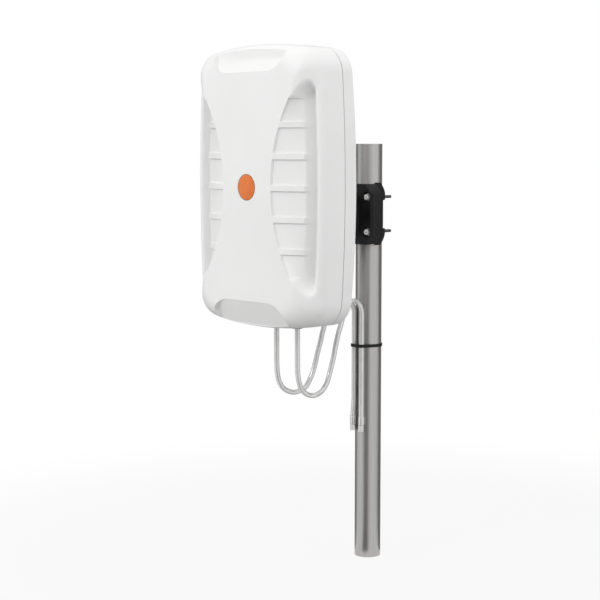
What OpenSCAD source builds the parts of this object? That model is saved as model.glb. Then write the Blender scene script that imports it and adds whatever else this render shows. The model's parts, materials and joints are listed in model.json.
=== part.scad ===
// Directional panel antenna on a length of mast, with its tilting pole clamp and two lashed cables.
// Millimetres. The mast stands on the origin along +Z and the panel looks along -Y.

/* [Mast] */
// Outside diameter of the mast tube
mast_d = 42.4; // [40:0.1:46]
// Wall of the mast tube
mast_wall = 2.6; // [2:0.1:4]
// Length of the mast tube
mast_len = 677; // [640:1:900]

/* [Panel] */
// Width across the middle of the panel
panel_w = 290; // [270:1:330]
// Height along the middle of the panel
panel_h = 428; // [400:1:480]
// Depth from the front face to the ends of the rear face
panel_depth = 87.5; // [84:0.5:100]
// Depth from the front face to the seam of the two shells
seam_depth = 66.5; // [62:0.5:70]
// Radius of the outline's corners
corner_r = 31; // [24:1:40]
// How far each side bows out between its corners
side_bow = 9; // [4:0.5:12]
// How far the head and the foot bow out between their corners
end_bow = 14; // [8:0.5:18]
// How far the rim and the rear face lie further back at half height
depth_bow = 4.5; // [2:0.5:6]
// Rounding from the rim to the side walls
front_round = 27; // [20:1:32]
// Rounding of the rear face's edge
rear_round = 5; // [3:0.5:8]
// Depth of the rim behind the front face, at the ends of the sides
rim_set = 9; // [7:0.5:11]
// Depth of the rim behind the front face, at the head and the foot
end_set = 1.5; // [1:0.1:3]
// Wall of both shells
shell_wall = 3; // [2.4:0.2:4]
// Reach from the mast's axis to the front face
panel_reach = 261; // [245:1:300]
// Height of the panel's middle above the mast's foot
panel_z = 612; // [600:1:640]

/* [Front relief] */
// Half width of the flat band at half height
band_half = 54; // [46:1:60]
// Half width of the flat band at the ends of the windows
band_end_half = 94; // [84:1:98]
// Height of the flat band
band_h = 330; // [310:1:350]
// Share of the rim's width that the band keeps at its head and foot
band_draw = 0.8; // [0.7:0.05:0.9]
// Height of the field of windows on each side
window_h = 262; // [230:1:280]
// Number of windows on each side
window_count = 6; // [4:1:8]
// Height of the ribs between the windows
rib_h = 8.3; // [5:0.1:12]
// Depth of a window below its ribs
window_step = 1.7; // [1:0.1:2.4]
// Distance of the windows' outer edge from the panel's side
foot_in = 34; // [32:1:38]
// Depth of the windows' outer edge behind the front face
foot_depth = 17; // [14:0.5:19]
// Distance of the valley's floor from the panel's side
valley_in = 25; // [23:0.5:28]
// Depth of the valley behind the front face
valley_depth = 31; // [26:0.5:33]
// Height over which each end of the valley rises to the rim
valley_run = 16; // [12:1:30]
// Height of the valley, ends included
valley_h = 314; // [290:1:330]
// Distance of the rim's crest from the panel's side, beside the valley
crest_in = 12; // [10:0.5:16]
// Depth of the rim's crest behind the front face, beside the valley
crest_depth = 21.5; // [19:0.5:24]
// Width of the scoops at the head and the foot
scoop_w = 158; // [120:1:164]
// Height of each scoop
scoop_h = 42.5; // [34:0.5:48]
// Depth of each scoop's back wall behind the front face
scoop_depth = 10.5; // [8:0.5:14]
// Lean of each scoop's floor, in degrees
scoop_lean = 20; // [15:1:25]
// Rounding of each scoop's inner corners
scoop_r = 24; // [12:1:30]
// Diameter of the badge
badge_d = 39.5; // [30:0.5:50]

/* [Shell joint] */
// Width of the flange inside the seam
flange_w = 12; // [10:0.5:15]
// Thickness of the flange on each shell
flange_t = 3; // [2:0.5:4]
// Thickness of the rim seal
seal_t = 2; // [1:0.5:3]
// Width of the rim seal
seal_w = 4.2; // [3:0.2:5]
// Radius of a cover screw's shank
cover_screw_r = 2; // [1.5:0.25:2.5]
// Length of a cover screw under its head
cover_screw_len = 24; // [20:1:30]
// Height of the side screws above and below the middle
side_screw_z = 110; // [90:1:130]
// Distance of the head and foot screws from the middle
end_screw_x = 84; // [78:1:90]

/* [Inside] */
// Thickness of the reflector's sheet
tray_t = 1.5; // [1:0.1:2.5]
// Height of the tray's folded lips
tray_lip = 14; // [8:1:20]
// Gap from the seam back to the tray's front
tray_set = 5.5; // [5:0.5:6.5]
// Width of the feed board
board_w = 140; // [130:1:170]
// Thickness of the feed board
board_t = 1.6; // [1:0.1:2.4]
// Gap between the tray and the feed board
board_gap = 4.4; // [3:0.2:6]
// Height of the two stacks of elements above and below the middle
stack_z = 85; // [75:1:95]
// Side of the square driven elements
driver_w = 74; // [60:1:90]
// Diameter of the near directors
near_director_d = 64; // [50:1:75]
// Diameter of the far directors
far_director_d = 56; // [45:1:70]
// Gap from the feed board to the driven elements
driver_gap = 9; // [6:0.5:12]
// Gap between one element and the next
director_gap = 13; // [10:0.5:15]
// Thickness of the element plates
element_t = 1; // [0.8:0.1:1.5]

/* [Bracket] */
// Width of the back plate
plate_w = 110; // [100:1:130]
// Height of the back plate
plate_h = 92; // [86:1:110]
// Thickness of the back plate
plate_t = 6; // [5:0.5:9]
// Spacing of the plate's screws across
plate_screw_x = 84; // [70:1:90]
// Spacing of the plate's screws in height
plate_screw_z = 64; // [54:1:70]
// Length of the ears from the plate to the pivot
ear_len = 53; // [50:1:60]
// Thickness of each ear
ear_t = 6; // [5:0.5:9]
// Width of the arm between the ears
arm_w = 30; // [26:1:40]
// Radius of the arm and the ears round the pivot
pivot_boss_r = 14; // [12:0.5:17]
// Distance of the lock bolt from the pivot
lock_reach = 32; // [30:0.5:34]
// Tilt each way, in degrees
tilt_limit = 15; // [10:1:18]

/* [Clamp] */
// Height of the clamp's middle above the mast's foot
clamp_z = 565; // [550:1:575]
// Height of the clamp
clamp_h = 96; // [90:1:110]
// Width of the saddle
saddle_w = 86; // [82:1:96]
// Reach of the saddle's front face from the mast's axis
saddle_front = 37; // [34:0.5:42]
// Reach of the saddle's rear face from the mast's axis
saddle_rear = 12; // [10:0.5:15]
// Spacing of the clamp bolts across the mast
bolt_span = 62; // [60:0.5:66]
// Spacing of the clamp bolts in height
bolt_pitch = 55; // [50:0.5:60]
// Radius of a clamp bolt
bolt_r = 2.5; // [2:0.25:3]
// Length of a clamp bolt under its head
bolt_len = 51; // [48:1:60]
// How far the jaw's bands stand past the saddle's head and foot
jaw_rise = 2; // [0:0.5:4]
// Thickness of the jaw's bands
jaw_band_t = 5; // [4:0.5:7]
// Thickness of the jaw's web between the bands
jaw_web_t = 1.8; // [1.4:0.2:3]

/* [Cables] */
// Diameter of each cable
cable_d = 8; // [6:0.2:8]
// Height of the cable tie
tie_h = 5; // [3.6:0.2:8]
// Thickness of the cable tie
tie_t = 1.2; // [1:0.1:2]
// Height of the cable tie's middle above the mast's foot
tie_z = 351; // [300:1:380]

/* [Hidden] */
$fn = 64;

// Clearances
run_fit = 0.05;
screw_fit = 0.05;
slide_gap = 0.1;
bolt_fit = 0.25;
seal_gap = 0.2;
gland_gap = 0.4;
tie_fit = 0.3;
through = 20;

// Share of a screw head that its hexagon recess goes into
key_share = 0.6;

// Points along the panel's outline
end_steps = 4;
corner_steps = 6;
side_steps = 18;
round_steps = 5;

// Share of the rim's depth that the windows' slope starts from at its ends
slope_start = 0.7;

half_w = panel_w / 2;
half_h = panel_h / 2;
mast_r = mast_d / 2;
cable_r = cable_d / 2;

// Outline of the panel at any place along its sides and ends
function side_x(z) = half_w - side_bow * pow(z / half_h, 2);
function end_z(x) = half_h - end_bow * pow(x / half_w, 2);
function rear_y(z) = panel_depth + depth_bow * (1 - pow(z / half_h, 2));

// A rounded rectangle's point, drawn in where its side or end bows
function bowed(p, a, b) = [
    p[0] * (1 - side_bow / half_w * pow(p[1] / b, 2)),
    p[1] * (1 - end_bow / half_h * pow(p[0] / a, 2))];

// Right half of the outline drawn in by d, from the foot to the head
function half_outline(d) =
    let(a = half_w - d, b = half_h - d, r = max(corner_r - d, 3), turn = 90 / corner_steps)
    [for (p = concat(
        [for (i = [1:end_steps]) [(a - r) * i / end_steps, -b]],
        [for (i = [1:corner_steps - 1]) [a - r + r * sin(turn * i), r - b - r * cos(turn * i)]],
        [for (i = [0:side_steps]) [a, (b - r) * (2 * i / side_steps - 1)]],
        [for (i = [1:corner_steps - 1]) [a - r + r * cos(turn * i), b - r + r * sin(turn * i)]],
        [for (i = [end_steps:-1:1]) [(a - r) * i / end_steps, b]]))
        bowed(p, a, b)];

// Both halves as one closed outline
function both_sides(h) = concat(h, [for (i = [len(h) - 1:-1:0]) [-h[i][0], h[i][1]]]);

// An outline set at depth y, bowed back by the given amount at half height
function ring(d, y, bow) = [for (p = both_sides(half_outline(d)))
    [p[0], y + bow * (1 - pow(p[1] / half_h, 2)), p[1]]];

// Edge of the flat band: an arc beside the windows
arc_s = band_end_half - band_half;
arc_r = (pow(window_h / 2, 2) + pow(arc_s, 2)) / (2 * arc_s);
arc_x = band_half + arc_r;
function band_edge(z) = arc_x - sqrt(pow(arc_r, 2) - pow(z, 2));
function band_ring(y, d) = [for (p = both_sides(half_outline(front_round)))
    let(z = p[1] * (band_h / 2 - d) / (half_h - front_round), x = abs(p[0]) * band_draw)
    [sign(p[0]) * (min(x, band_edge(z)) - d), y, z]];

// Depth of the rim at a point of the outline drawn in by d: little at the ends, more at the sides
function rim_y(p, d) = end_set
    + (rim_set - end_set + depth_bow * (1 - pow(p[1] / half_h, 2))) * pow(p[0] / (half_w - d), 2);

// Rounding from the rim into the side walls, drawn in by d, for a shell with a wall w
function round_y(p, d, w) =
    let(rim = rim_y(p, d), deep = rim_set + front_round - w, run = (front_round - d) / (front_round - w))
    run <= 0 ? rim * slope_start : rim + (deep - rim) * (1 - sqrt(1 - run * run));

// Share of the pockets at the sides: whole beside the windows, none at the ends
function valley_share(z) =
    let(t = min(1, max(0, (valley_h / 2 - abs(z)) / valley_run))) t * t * (3 - 2 * t);

// A ring drawn in by d that follows the rounding, and lies at the depth y in the pockets
function pocket_ring(d, y, w, skin) = [for (p = both_sides(half_outline(d)))
    let(plain = round_y(p, d, w)) [p[0], skin + plain + (y - plain) * valley_share(p[1]), p[1]]];

// Rings of the front shell from the band over the valley back to the seam, drawn in by a wall w
function front_rings(w, skin, back) = concat(
    [band_ring(skin, w), pocket_ring(foot_in, foot_depth, w, skin),
        pocket_ring(valley_in, valley_depth, w, skin),
        pocket_ring((valley_in + crest_in) / 2, (valley_depth + crest_depth) / 2, w, skin)],
    [for (i = [0:round_steps]) let(t = 90 * i / round_steps, r = crest_in - w)
        pocket_ring(w + r * (1 - sin(t)), crest_depth + r * (1 - cos(t)), w, skin)],
    [ring(w, back, 0)]);

// Rings of the rear shell from the seam to the rear face, drawn in by a wall w
function rear_rings(w, front) = concat(
    [ring(w, front, 0)],
    [for (i = [0:round_steps])
        let(t = 90 * i / round_steps)
        ring(w + rear_round * (1 - cos(t)), panel_depth - w - rear_round * (1 - sin(t)), depth_bow)]);

// A solid lofted through rings that run from the front to the back
module loft(rings) {
    n = len(rings[0]);
    last = (len(rings) - 1) * n;
    polyhedron(
        points = [for (r = rings) each r],
        faces = concat(
            [for (i = [0:n / 2 - 2]) [n - 1 - i, n - 2 - i, i + 1, i]],
            [for (k = [0:len(rings) - 2]) for (i = [0:n - 1]) let(j = (i + 1) % n)
                each [[k * n + i, k * n + j, k * n + n + j], [k * n + i, k * n + n + j, k * n + n + i]]],
            [for (i = [0:n / 2 - 2]) [last + i, last + i + 1, last + n - 2 - i, last + n - 1 - i]]));
}

// A flat ring that follows the outline from inset d0 to inset d1
module rim_band(d0, d1, y0, y1) {
    translate([0, y1, 0]) rotate([90, 0, 0]) linear_extrude(y1 - y0) difference() {
        polygon(both_sides(half_outline(d0)));
        polygon(both_sides(half_outline(d1)));
    }
}

module rod_y(r, y0, y1) { translate([0, y0, 0]) rotate([-90, 0, 0]) cylinder(r = r, h = y1 - y0); }
module rod_x(r, x0, x1) { translate([x0, 0, 0]) rotate([0, 90, 0]) cylinder(r = r, h = x1 - x0); }
module hex_y(af, y0, y1) {
    translate([0, y0, 0]) rotate([-90, 0, 0]) cylinder(r = af / sqrt(3), h = y1 - y0, $fn = 6);
}
module hex_x(af, x0, x1) {
    translate([x0, 0, 0]) rotate([0, 90, 0]) cylinder(r = af / sqrt(3), h = x1 - x0, $fn = 6);
}
module hex_z(af, z0, z1) { translate([0, 0, z0]) cylinder(r = af / sqrt(3), h = z1 - z0, $fn = 6); }
module rod_z(r, z0, z1) { translate([0, 0, z0]) cylinder(r = r, h = z1 - z0); }
module both_x() {
    children();
    mirror([1, 0, 0]) children();
}
module both_z() {
    children();
    mirror([0, 0, 1]) children();
}

// A round screw head with a hexagon recess, standing from y = 0 towards +Y
module key_head(r, h, key_af) {
    difference() {
        rod_y(r, 0, h);
        hex_y(key_af, h * (1 - key_share), h + 1);
    }
}

// Panel pieces are drawn from the middle of the front face
module on_panel() { translate([0, -panel_reach, panel_z]) children(); }
module on_clamp() { translate([0, 0, clamp_z]) children(); }

// Mast

module mast() {
    color("silver") difference() {
        rod_z(mast_r, 0, mast_len);
        rod_z(mast_r - mast_wall, -1, mast_len + 1);
    }
}

// Pole clamp

bolt_head_r = 4.6;
bolt_head_h = 4.8;
bolt_key_af = 4;
washer_r = 6;
washer_t = 1.2;
recess_r = 8;
recess_d = 5;
seat_y = -saddle_front + recess_d;
saddle_chamfer = 4;
corner_cut = 14;
corner_drop = 17;
jaw_front = -8;
ear_rear = -2;
jaw_ear_in = 5;
jaw_ear_x = saddle_w / 2 - jaw_ear_in;
nut_af = 8;
nut_h = 4.7;
bolt_level = bolt_pitch / 2;
clamp_half = clamp_h / 2;
jaw_half = clamp_half + jaw_rise;
band_spare = 1;
band_rear = mast_r + jaw_band_t + band_spare;
band_slope_y = 0.8 * mast_r;
band_slope_rise = 5;
band_rear_rise = 3;
band_rear_drop = 2;
band_foot_drop = 5.5;
band_foot = bolt_level - band_foot_drop;

module at_bolts() {
    for (x = [-1, 1], z = [-1, 1]) translate([x * bolt_span / 2, 0, z * bolt_level]) children();
}

// Pivot of the tilt joint, between the back plate and the mast
pad_y = panel_depth + depth_bow + 2.5;
plate_front = pad_y - panel_reach;
plate_rear = plate_front + plate_t;
pivot_y = plate_rear + ear_len;
lock_y = pivot_y - lock_reach;
pivot_r = 4;
lock_r = 3;
lock_boss_r = 10;
slot_spare = 1;
arm_root_h = 60;
arm_web_t = 8;
arm_rim = 7;

module arm_outline(shrink) {
    polygon([[-saddle_front + 1, arm_root_h / 2 - shrink], [pivot_y, pivot_boss_r - shrink],
        [lock_y, lock_boss_r - shrink], [lock_y, shrink - lock_boss_r],
        [pivot_y, shrink - pivot_boss_r], [-saddle_front + 1, shrink - arm_root_h / 2]]);
    translate([pivot_y, 0]) circle(pivot_boss_r - shrink);
    translate([lock_y, 0]) circle(lock_boss_r - shrink);
}

// A profile drawn in Y and Z, given a width along X
module across_x(w) {
    translate([-w / 2, 0, 0]) rotate([90, 0, 90]) linear_extrude(w) children();
}

// The clamp's outline seen from the front, its corners cut off, given a depth along Y
module clamp_outline(w, z, y0, y1) {
    x = w / 2;
    translate([0, y1, 0]) rotate([90, 0, 0]) linear_extrude(y1 - y0) polygon([
        [x - corner_cut, z], [x, z - corner_drop], [x, corner_drop - z], [x - corner_cut, -z],
        [corner_cut - x, -z], [-x, corner_drop - z], [-x, z - corner_drop], [corner_cut - x, z]]);
}

module saddle_block() {
    x = saddle_w / 2;
    c = saddle_chamfer;
    intersection() {
        translate([0, 0, -clamp_half]) linear_extrude(clamp_h) polygon([
            [c - x, -saddle_front], [x - c, -saddle_front], [x, c - saddle_front], [x, -saddle_rear],
            [-x, -saddle_rear], [-x, c - saddle_front]]);
        clamp_outline(saddle_w, clamp_half, -saddle_front, -saddle_rear);
    }
}

module mast_saddle() {
    side_cut = (arm_w - arm_web_t) / 2;
    color([0.1, 0.1, 0.1]) on_clamp() difference() {
        union() {
            saddle_block();
            across_x(arm_w) arm_outline(0);
        }
        // Pockets that leave the arm a web and a rim
        both_x() translate([arm_w / 2, 0, 0]) across_x(2 * side_cut) polygon([
            [-saddle_front - arm_rim, arm_root_h / 2 - 2 * arm_rim],
            [pivot_y + pivot_boss_r, pivot_boss_r - arm_rim],
            [pivot_y + pivot_boss_r, arm_rim - pivot_boss_r],
            [-saddle_front - arm_rim, 2 * arm_rim - arm_root_h / 2]]);
        rod_z(mast_r + run_fit, -clamp_h, clamp_h);
        at_bolts() {
            rod_y(bolt_r + bolt_fit, -saddle_front - through, 0);
            rod_y(recess_r, -saddle_front - through, seat_y);
        }
        translate([0, pivot_y, 0]) rod_x(pivot_r + run_fit, -arm_w, arm_w);
        translate([0, lock_y, 0]) rod_x(lock_r + run_fit, -arm_w, arm_w);
    }
}

// Side profile of one of the jaw's bands, seen along X
module band_profile() {
    polygon([[jaw_front, jaw_half], [0, jaw_half], [band_slope_y, bolt_level + band_slope_rise],
        [band_rear, bolt_level + band_rear_rise], [band_rear, bolt_level - band_rear_drop],
        [jaw_front, band_foot]]);
}

module jaw_ring(t) {
    difference() {
        union() {
            rod_z(mast_r + t, -jaw_half, jaw_half);
            translate([-mast_r - t, jaw_front, -jaw_half])
                cube([2 * (mast_r + t), -jaw_front, 2 * jaw_half]);
        }
        translate([-saddle_w, jaw_front - saddle_w, -clamp_h]) cube([2 * saddle_w, saddle_w, 2 * clamp_h]);
    }
}

module mast_jaw() {
    color([0.1, 0.1, 0.1]) on_clamp() difference() {
        union() {
            intersection() {
                union() {
                    jaw_ring(jaw_band_t);
                    clamp_outline(2 * jaw_ear_x, jaw_half, jaw_front, ear_rear);
                }
                both_z() across_x(saddle_w) band_profile();
            }
            intersection() {
                jaw_ring(jaw_web_t);
                translate([-saddle_w, jaw_front, -band_foot - 1])
                    cube([2 * saddle_w, saddle_w, 2 * (band_foot + 1)]);
            }
        }
        rod_z(mast_r + run_fit, -clamp_h, clamp_h);
        translate([-mast_r - run_fit, jaw_front - 1, -clamp_h])
            cube([2 * (mast_r + run_fit), 1 - jaw_front, 2 * clamp_h]);
        at_bolts() rod_y(bolt_r + bolt_fit, jaw_front - 1, ear_rear + 1);
    }
}

module clamp_bolts() {
    color("gainsboro") on_clamp() at_bolts() {
        top = seat_y - washer_t;
        rod_y(bolt_r, top - 1, top + bolt_len);
        translate([0, top, 0]) mirror([0, 1, 0]) key_head(bolt_head_r, bolt_head_h, bolt_key_af);
    }
}

module clamp_washers() {
    color("gainsboro") on_clamp() at_bolts() difference() {
        rod_y(washer_r, seat_y - washer_t, seat_y);
        rod_y(bolt_r + bolt_fit, seat_y - washer_t - 1, seat_y + 1);
    }
}

module clamp_nuts() {
    color("dimgray") on_clamp() at_bolts() difference() {
        hex_y(nut_af, ear_rear, ear_rear + nut_h);
        rod_y(bolt_r + run_fit, ear_rear - 1, ear_rear + nut_h + 1);
    }
}

// Tilt bracket

ear_x0 = arm_w / 2 + slide_gap;
ear_x1 = ear_x0 + ear_t;
ear_root_h = 76;
pivot_af = 13;
pivot_head_h = 5.3;
pivot_nut_h = 6.5;
pivot_washer_r = 8;
lock_af = 10;
lock_head_h = 4;
lock_nut_h = 5;
lock_washer_r = 6.5;
side_washer_t = 1.6;
washer_x = ear_x1 + slide_gap;
head_x = washer_x + side_washer_t;
tail_spare = 3;
plate_screw_r = 3;
plate_screw_head_r = 5.5;
plate_screw_head_h = 3.3;
plate_screw_len = 18;
plate_key_af = 4;
plate_corner = 8;

module at_plate_screws() {
    for (x = [-1, 1], z = [-1, 1]) translate([x * plate_screw_x / 2, 0, z * plate_screw_z / 2]) children();
}

// A slot that runs round the pivot, over the tilt each way
module arc_slot(w, x0, x1) {
    swing = tilt_limit + slot_spare;
    translate([x0, pivot_y, 0]) rotate([0, 90, 0]) {
        rotate([0, 0, 270 - swing]) rotate_extrude(angle = 2 * swing)
            translate([lock_reach - w / 2, 0]) square([w, x1 - x0]);
        for (s = [-1, 1]) rotate([0, 0, 270 + s * swing]) translate([lock_reach, 0, 0])
            cylinder(r = w / 2, h = x1 - x0);
    }
}

module back_plate() {
    x = plate_w / 2;
    z = plate_h / 2;
    c = plate_corner;
    color([0.1, 0.1, 0.1]) on_clamp() difference() {
        union() {
            translate([0, plate_rear, 0]) rotate([90, 0, 0]) linear_extrude(plate_t) polygon([
                [c - x, -z], [x - c, -z], [x, c - z], [x, z - c],
                [x - c, z], [c - x, z], [-x, z - c], [-x, c - z]]);
            both_x() translate([(ear_x0 + ear_x1) / 2, 0, 0]) across_x(ear_t) {
                polygon([[plate_rear - 1, ear_root_h / 2], [pivot_y, pivot_boss_r],
                    [pivot_y, -pivot_boss_r], [plate_rear - 1, -ear_root_h / 2]]);
                translate([pivot_y, 0]) circle(pivot_boss_r);
            }
        }
        translate([0, pivot_y, 0]) rod_x(pivot_r + run_fit, -plate_w, plate_w);
        both_x() arc_slot(2 * (lock_r + bolt_fit), ear_x0 - 1, ear_x1 + 1);
        at_plate_screws() rod_y(plate_screw_r + bolt_fit, plate_front - 1, plate_rear + 1);
    }
}

module plate_screws() {
    color("dimgray") on_clamp() at_plate_screws() {
        rod_y(plate_screw_r, plate_rear - plate_screw_len, plate_rear + 1);
        translate([0, plate_rear, 0]) key_head(plate_screw_head_r, plate_screw_head_h, plate_key_af);
    }
}

module cross_bolt(y, r, af, head_h, nut_h) {
    translate([0, y, 0]) {
        rod_x(r, -head_x - 1, head_x + nut_h + tail_spare);
        hex_x(af, -head_x - head_h, -head_x);
    }
}

module cross_nut(y, r, af, h) {
    translate([0, y, 0]) difference() {
        hex_x(af, head_x, head_x + h);
        rod_x(r + run_fit, head_x - 1, head_x + h + 1);
    }
}

module cross_washers(y, r, outer) {
    both_x() translate([0, y, 0]) difference() {
        rod_x(outer, washer_x, washer_x + side_washer_t);
        rod_x(r + run_fit, washer_x - 1, washer_x + side_washer_t + 1);
    }
}

module pivot_bolt() {
    color("dimgray") on_clamp() cross_bolt(pivot_y, pivot_r, pivot_af, pivot_head_h, pivot_nut_h);
}
module pivot_nut() { color("dimgray") on_clamp() cross_nut(pivot_y, pivot_r, pivot_af, pivot_nut_h); }
module pivot_washers() { color("silver") on_clamp() cross_washers(pivot_y, pivot_r, pivot_washer_r); }
module lock_bolt() {
    color("dimgray") on_clamp() cross_bolt(lock_y, lock_r, lock_af, lock_head_h, lock_nut_h);
}
module lock_nut() { color("dimgray") on_clamp() cross_nut(lock_y, lock_r, lock_af, lock_nut_h); }
module lock_washers() { color("silver") on_clamp() cross_washers(lock_y, lock_r, lock_washer_r); }

// Shells of the panel

screw_boss_r = 6.5;
screw_in = flange_w + screw_boss_r - 1;
boss_len = 22;
screw_head_r = 4;
screw_head_h = 3;
screw_key_af = 3;
screw_seat = seam_depth + 8;
plate_z = clamp_z - panel_z;
plate_boss_r = 9;
plate_boss_depth = 15;
front_skin = 5;
window_edge = side_x(window_h / 2) - foot_in;
window_in = 1.5;
scoop_z = half_h - scoop_h;
scoop_lip = 0.3;
window_pitch = (window_h + rib_h) / window_count;
badge_r = badge_d / 2;
badge_set = 1.4;
badge_dome = 1.2;
reach = 60;

// Screws that join the shells: two pairs at the sides, one pair at half height, and the ends
module at_cover_screws() {
    both_x() {
        both_z() translate([side_x(side_screw_z) - screw_in, 0, side_screw_z]) children();
        both_z() translate([end_screw_x, 0, end_z(end_screw_x) - screw_in]) children();
        translate([half_w - screw_in, 0, 0]) children();
    }
}

// The space before the scoop's leaning floor and upright back wall, moved back by the given amount
module scoop_space(back) {
    w = scoop_w / 2 + back;
    intersection() {
        translate([0, scoop_lip, scoop_z]) rotate([-scoop_lean, 0, 0]) translate([0, back, -back]) {
            translate([-w, -reach, scoop_r]) cube([2 * w, reach, reach + scoop_h]);
            translate([scoop_r - w, -reach, 0]) cube([2 * (w - scoop_r), reach, scoop_r + 1]);
            both_x() translate([w - scoop_r, 0, scoop_r]) rod_y(scoop_r, -reach, 0);
        }
        translate([-panel_w, -reach, 0]) cube([2 * panel_w, reach + scoop_depth + back, panel_h]);
    }
}

// Windows between the band's arc and the slope's foot, sunk below the slope that they lie in
module windows() {
    difference() {
        both_x() for (i = [0:window_count - 1]) intersection() {
            translate([band_half, -1, i * window_pitch - window_h / 2])
                cube([window_edge - band_half, foot_depth + window_step + 1, window_pitch - rib_h]);
            translate([arc_x, -reach, 0]) rod_y(arc_r - window_in, 0, 2 * reach);
        }
        translate([0, window_step, 0]) loft(front_rings(0, 0, seam_depth));
    }
}

module front_radome() {
    color("whitesmoke") on_panel() difference() {
        loft(front_rings(0, 0, seam_depth));
        difference() {
            loft(front_rings(shell_wall, front_skin, seam_depth + 1));
            both_z() scoop_space(shell_wall);
            rim_band(0, flange_w, seam_depth - seal_t - flange_t, seam_depth - seal_t);
            at_cover_screws() rod_y(screw_boss_r, seam_depth - boss_len, seam_depth);
        }
        both_z() scoop_space(0);
        windows();
        rod_y(badge_r + run_fit, -1, badge_set);
        at_cover_screws()
            rod_y(cover_screw_r + screw_fit, screw_seat - cover_screw_len - 1, seam_depth + 1);
    }
}

module badge() {
    steps = 8;
    color("darkorange") on_panel() rotate([90, 0, 0]) rotate_extrude() polygon(concat(
        [[0, -badge_set], [badge_r, -badge_set]],
        [for (i = [steps:-1:0]) [badge_r * i / steps, badge_dome * (1 - pow(i / steps, 2))]]));
}

module rim_seal() {
    inset = shell_wall + seal_gap;
    color("dimgray") on_panel() rim_band(inset, inset + seal_w, seam_depth - seal_t, seam_depth);
}

// Cable outlet at the foot of the rear cover
gland_x = 24;
gland_in = 5.5;
gland_y = panel_depth - gland_in;
gland_thread_r = 7;
gland_af = 18;
gland_nut_af = 16;
gland_neck_r = 6.5;
gland_bore = cable_r + gland_gap;
outlet_w = 80;
outlet_top = 46;
outlet_notch = 10;
outlet_gap = 0.5;
outlet_rear = gland_y + gland_af / sqrt(3) + 2.5;
notch_z = -half_h + outlet_notch;
hump_z = -half_h + outlet_top;

vent_x = 92;
vent_z = -118;
vent_r = 9;
vent_stem_r = 5;
vent_cap_h = 3;
vent_bore_r = 2;
vent_hole_r = 1;
vent_hole_circle = 5.5;
vent_y = rear_y(vent_z) + 1;

tray_y = seam_depth + tray_set;
tray_rear = tray_y + tray_t;
tray_side_gap = 4.5;
tray_end_gap = 1.5;
tray_w = 2 * (side_x(side_screw_z) - screw_in - screw_boss_r - tray_side_gap);
tray_h = 2 * (end_z(end_screw_x) - screw_in - screw_boss_r - tray_end_gap);
post_x = 88;
post_z = 140;
post_r = 5;
post_screw_r = 2;
post_head_r = 3.6;
post_head_h = 2.6;
post_key_af = 2.5;
post_hole_d = 11;

module at_tray_posts() {
    for (x = [-1, 1], z = [-1:1]) translate([x * post_x, 0, z * post_z]) children();
}

module outlet_box(inset) {
    w = outlet_w / 2 - inset;
    y = tray_rear + outlet_gap;
    translate([-w, y, notch_z + inset])
        cube([2 * w, outlet_rear - y - inset, hump_z - notch_z - 2 * inset]);
}

module rear_cover() {
    notch_w = outlet_w / 2;
    color("whitesmoke") on_panel() difference() {
        union() {
            difference() {
                loft(rear_rings(0, seam_depth));
                loft(rear_rings(shell_wall, seam_depth - 1));
            }
            rim_band(1, flange_w, seam_depth, seam_depth + flange_t);
            at_cover_screws() rod_y(screw_boss_r, seam_depth, panel_depth - 1);
            for (z = [-1:1]) both_x() translate([post_x, 0, z * post_z])
                rod_y(post_r, tray_rear, rear_y(z * post_z) - 1);
            translate([0, 0, plate_z]) at_plate_screws()
                rod_y(plate_boss_r, pad_y - plate_boss_depth, pad_y);
            difference() {
                outlet_box(0);
                outlet_box(shell_wall);
            }
            // Roof of the notch that the glands hang under
            translate([-notch_w, seam_depth, notch_z])
                cube([2 * notch_w, gland_in + panel_depth - seam_depth, shell_wall]);
            both_x() translate([notch_w - shell_wall, seam_depth, -end_z(notch_w) + 1])
                cube([shell_wall, panel_depth - seam_depth - rear_round, outlet_notch]);
            translate([vent_x, 0, vent_z]) rod_y(vent_r + 2, panel_depth - shell_wall, vent_y);
        }
        // Notch below the outlet, and the way from the outlet into the shell
        translate([shell_wall - notch_w, seam_depth + flange_t, notch_z - reach])
            cube([2 * (notch_w - shell_wall), reach, reach]);
        translate([shell_wall - notch_w, tray_rear, notch_z + shell_wall])
            cube([2 * (notch_w - shell_wall), outlet_rear - shell_wall - tray_rear,
                hump_z - notch_z - 2 * shell_wall]);
        both_x() translate([gland_x, gland_y, notch_z])
            rod_z(gland_thread_r + bolt_fit, -1, shell_wall + 1);
        at_cover_screws() {
            rod_y(cover_screw_r + bolt_fit, seam_depth - 1, screw_seat + 1);
            rod_y(screw_head_r + bolt_fit, screw_seat, panel_depth + through);
        }
        at_tray_posts() rod_y(post_screw_r + screw_fit, tray_rear - 1, tray_rear + post_hole_d);
        translate([0, 0, plate_z]) at_plate_screws()
            rod_y(plate_screw_r + screw_fit, pad_y - plate_boss_depth + 1, pad_y + 1);
        translate([vent_x, 0, vent_z]) rod_y(vent_stem_r + run_fit, panel_depth - through, vent_y + 1);
    }
}

module cover_screws() {
    color("silver") on_panel() at_cover_screws() {
        rod_y(cover_screw_r, screw_seat - cover_screw_len, screw_seat + 1);
        translate([0, screw_seat, 0]) key_head(screw_head_r, screw_head_h, screw_key_af);
    }
}

module vent_plug() {
    color("gainsboro") on_panel() translate([vent_x, 0, vent_z]) difference() {
        union() {
            rod_y(vent_r, vent_y, vent_y + vent_cap_h);
            rod_y(vent_stem_r, vent_y - shell_wall - 4, vent_y + 1);
        }
        rod_y(vent_bore_r, vent_y - through, vent_y + vent_cap_h / 2);
        for (a = [0:60:300]) rotate([0, a, 0]) translate([vent_hole_circle, 0, 0])
            rod_y(vent_hole_r, vent_y + vent_cap_h / 2, vent_y + vent_cap_h + 1);
    }
}

// Reflector, feed and elements

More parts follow.
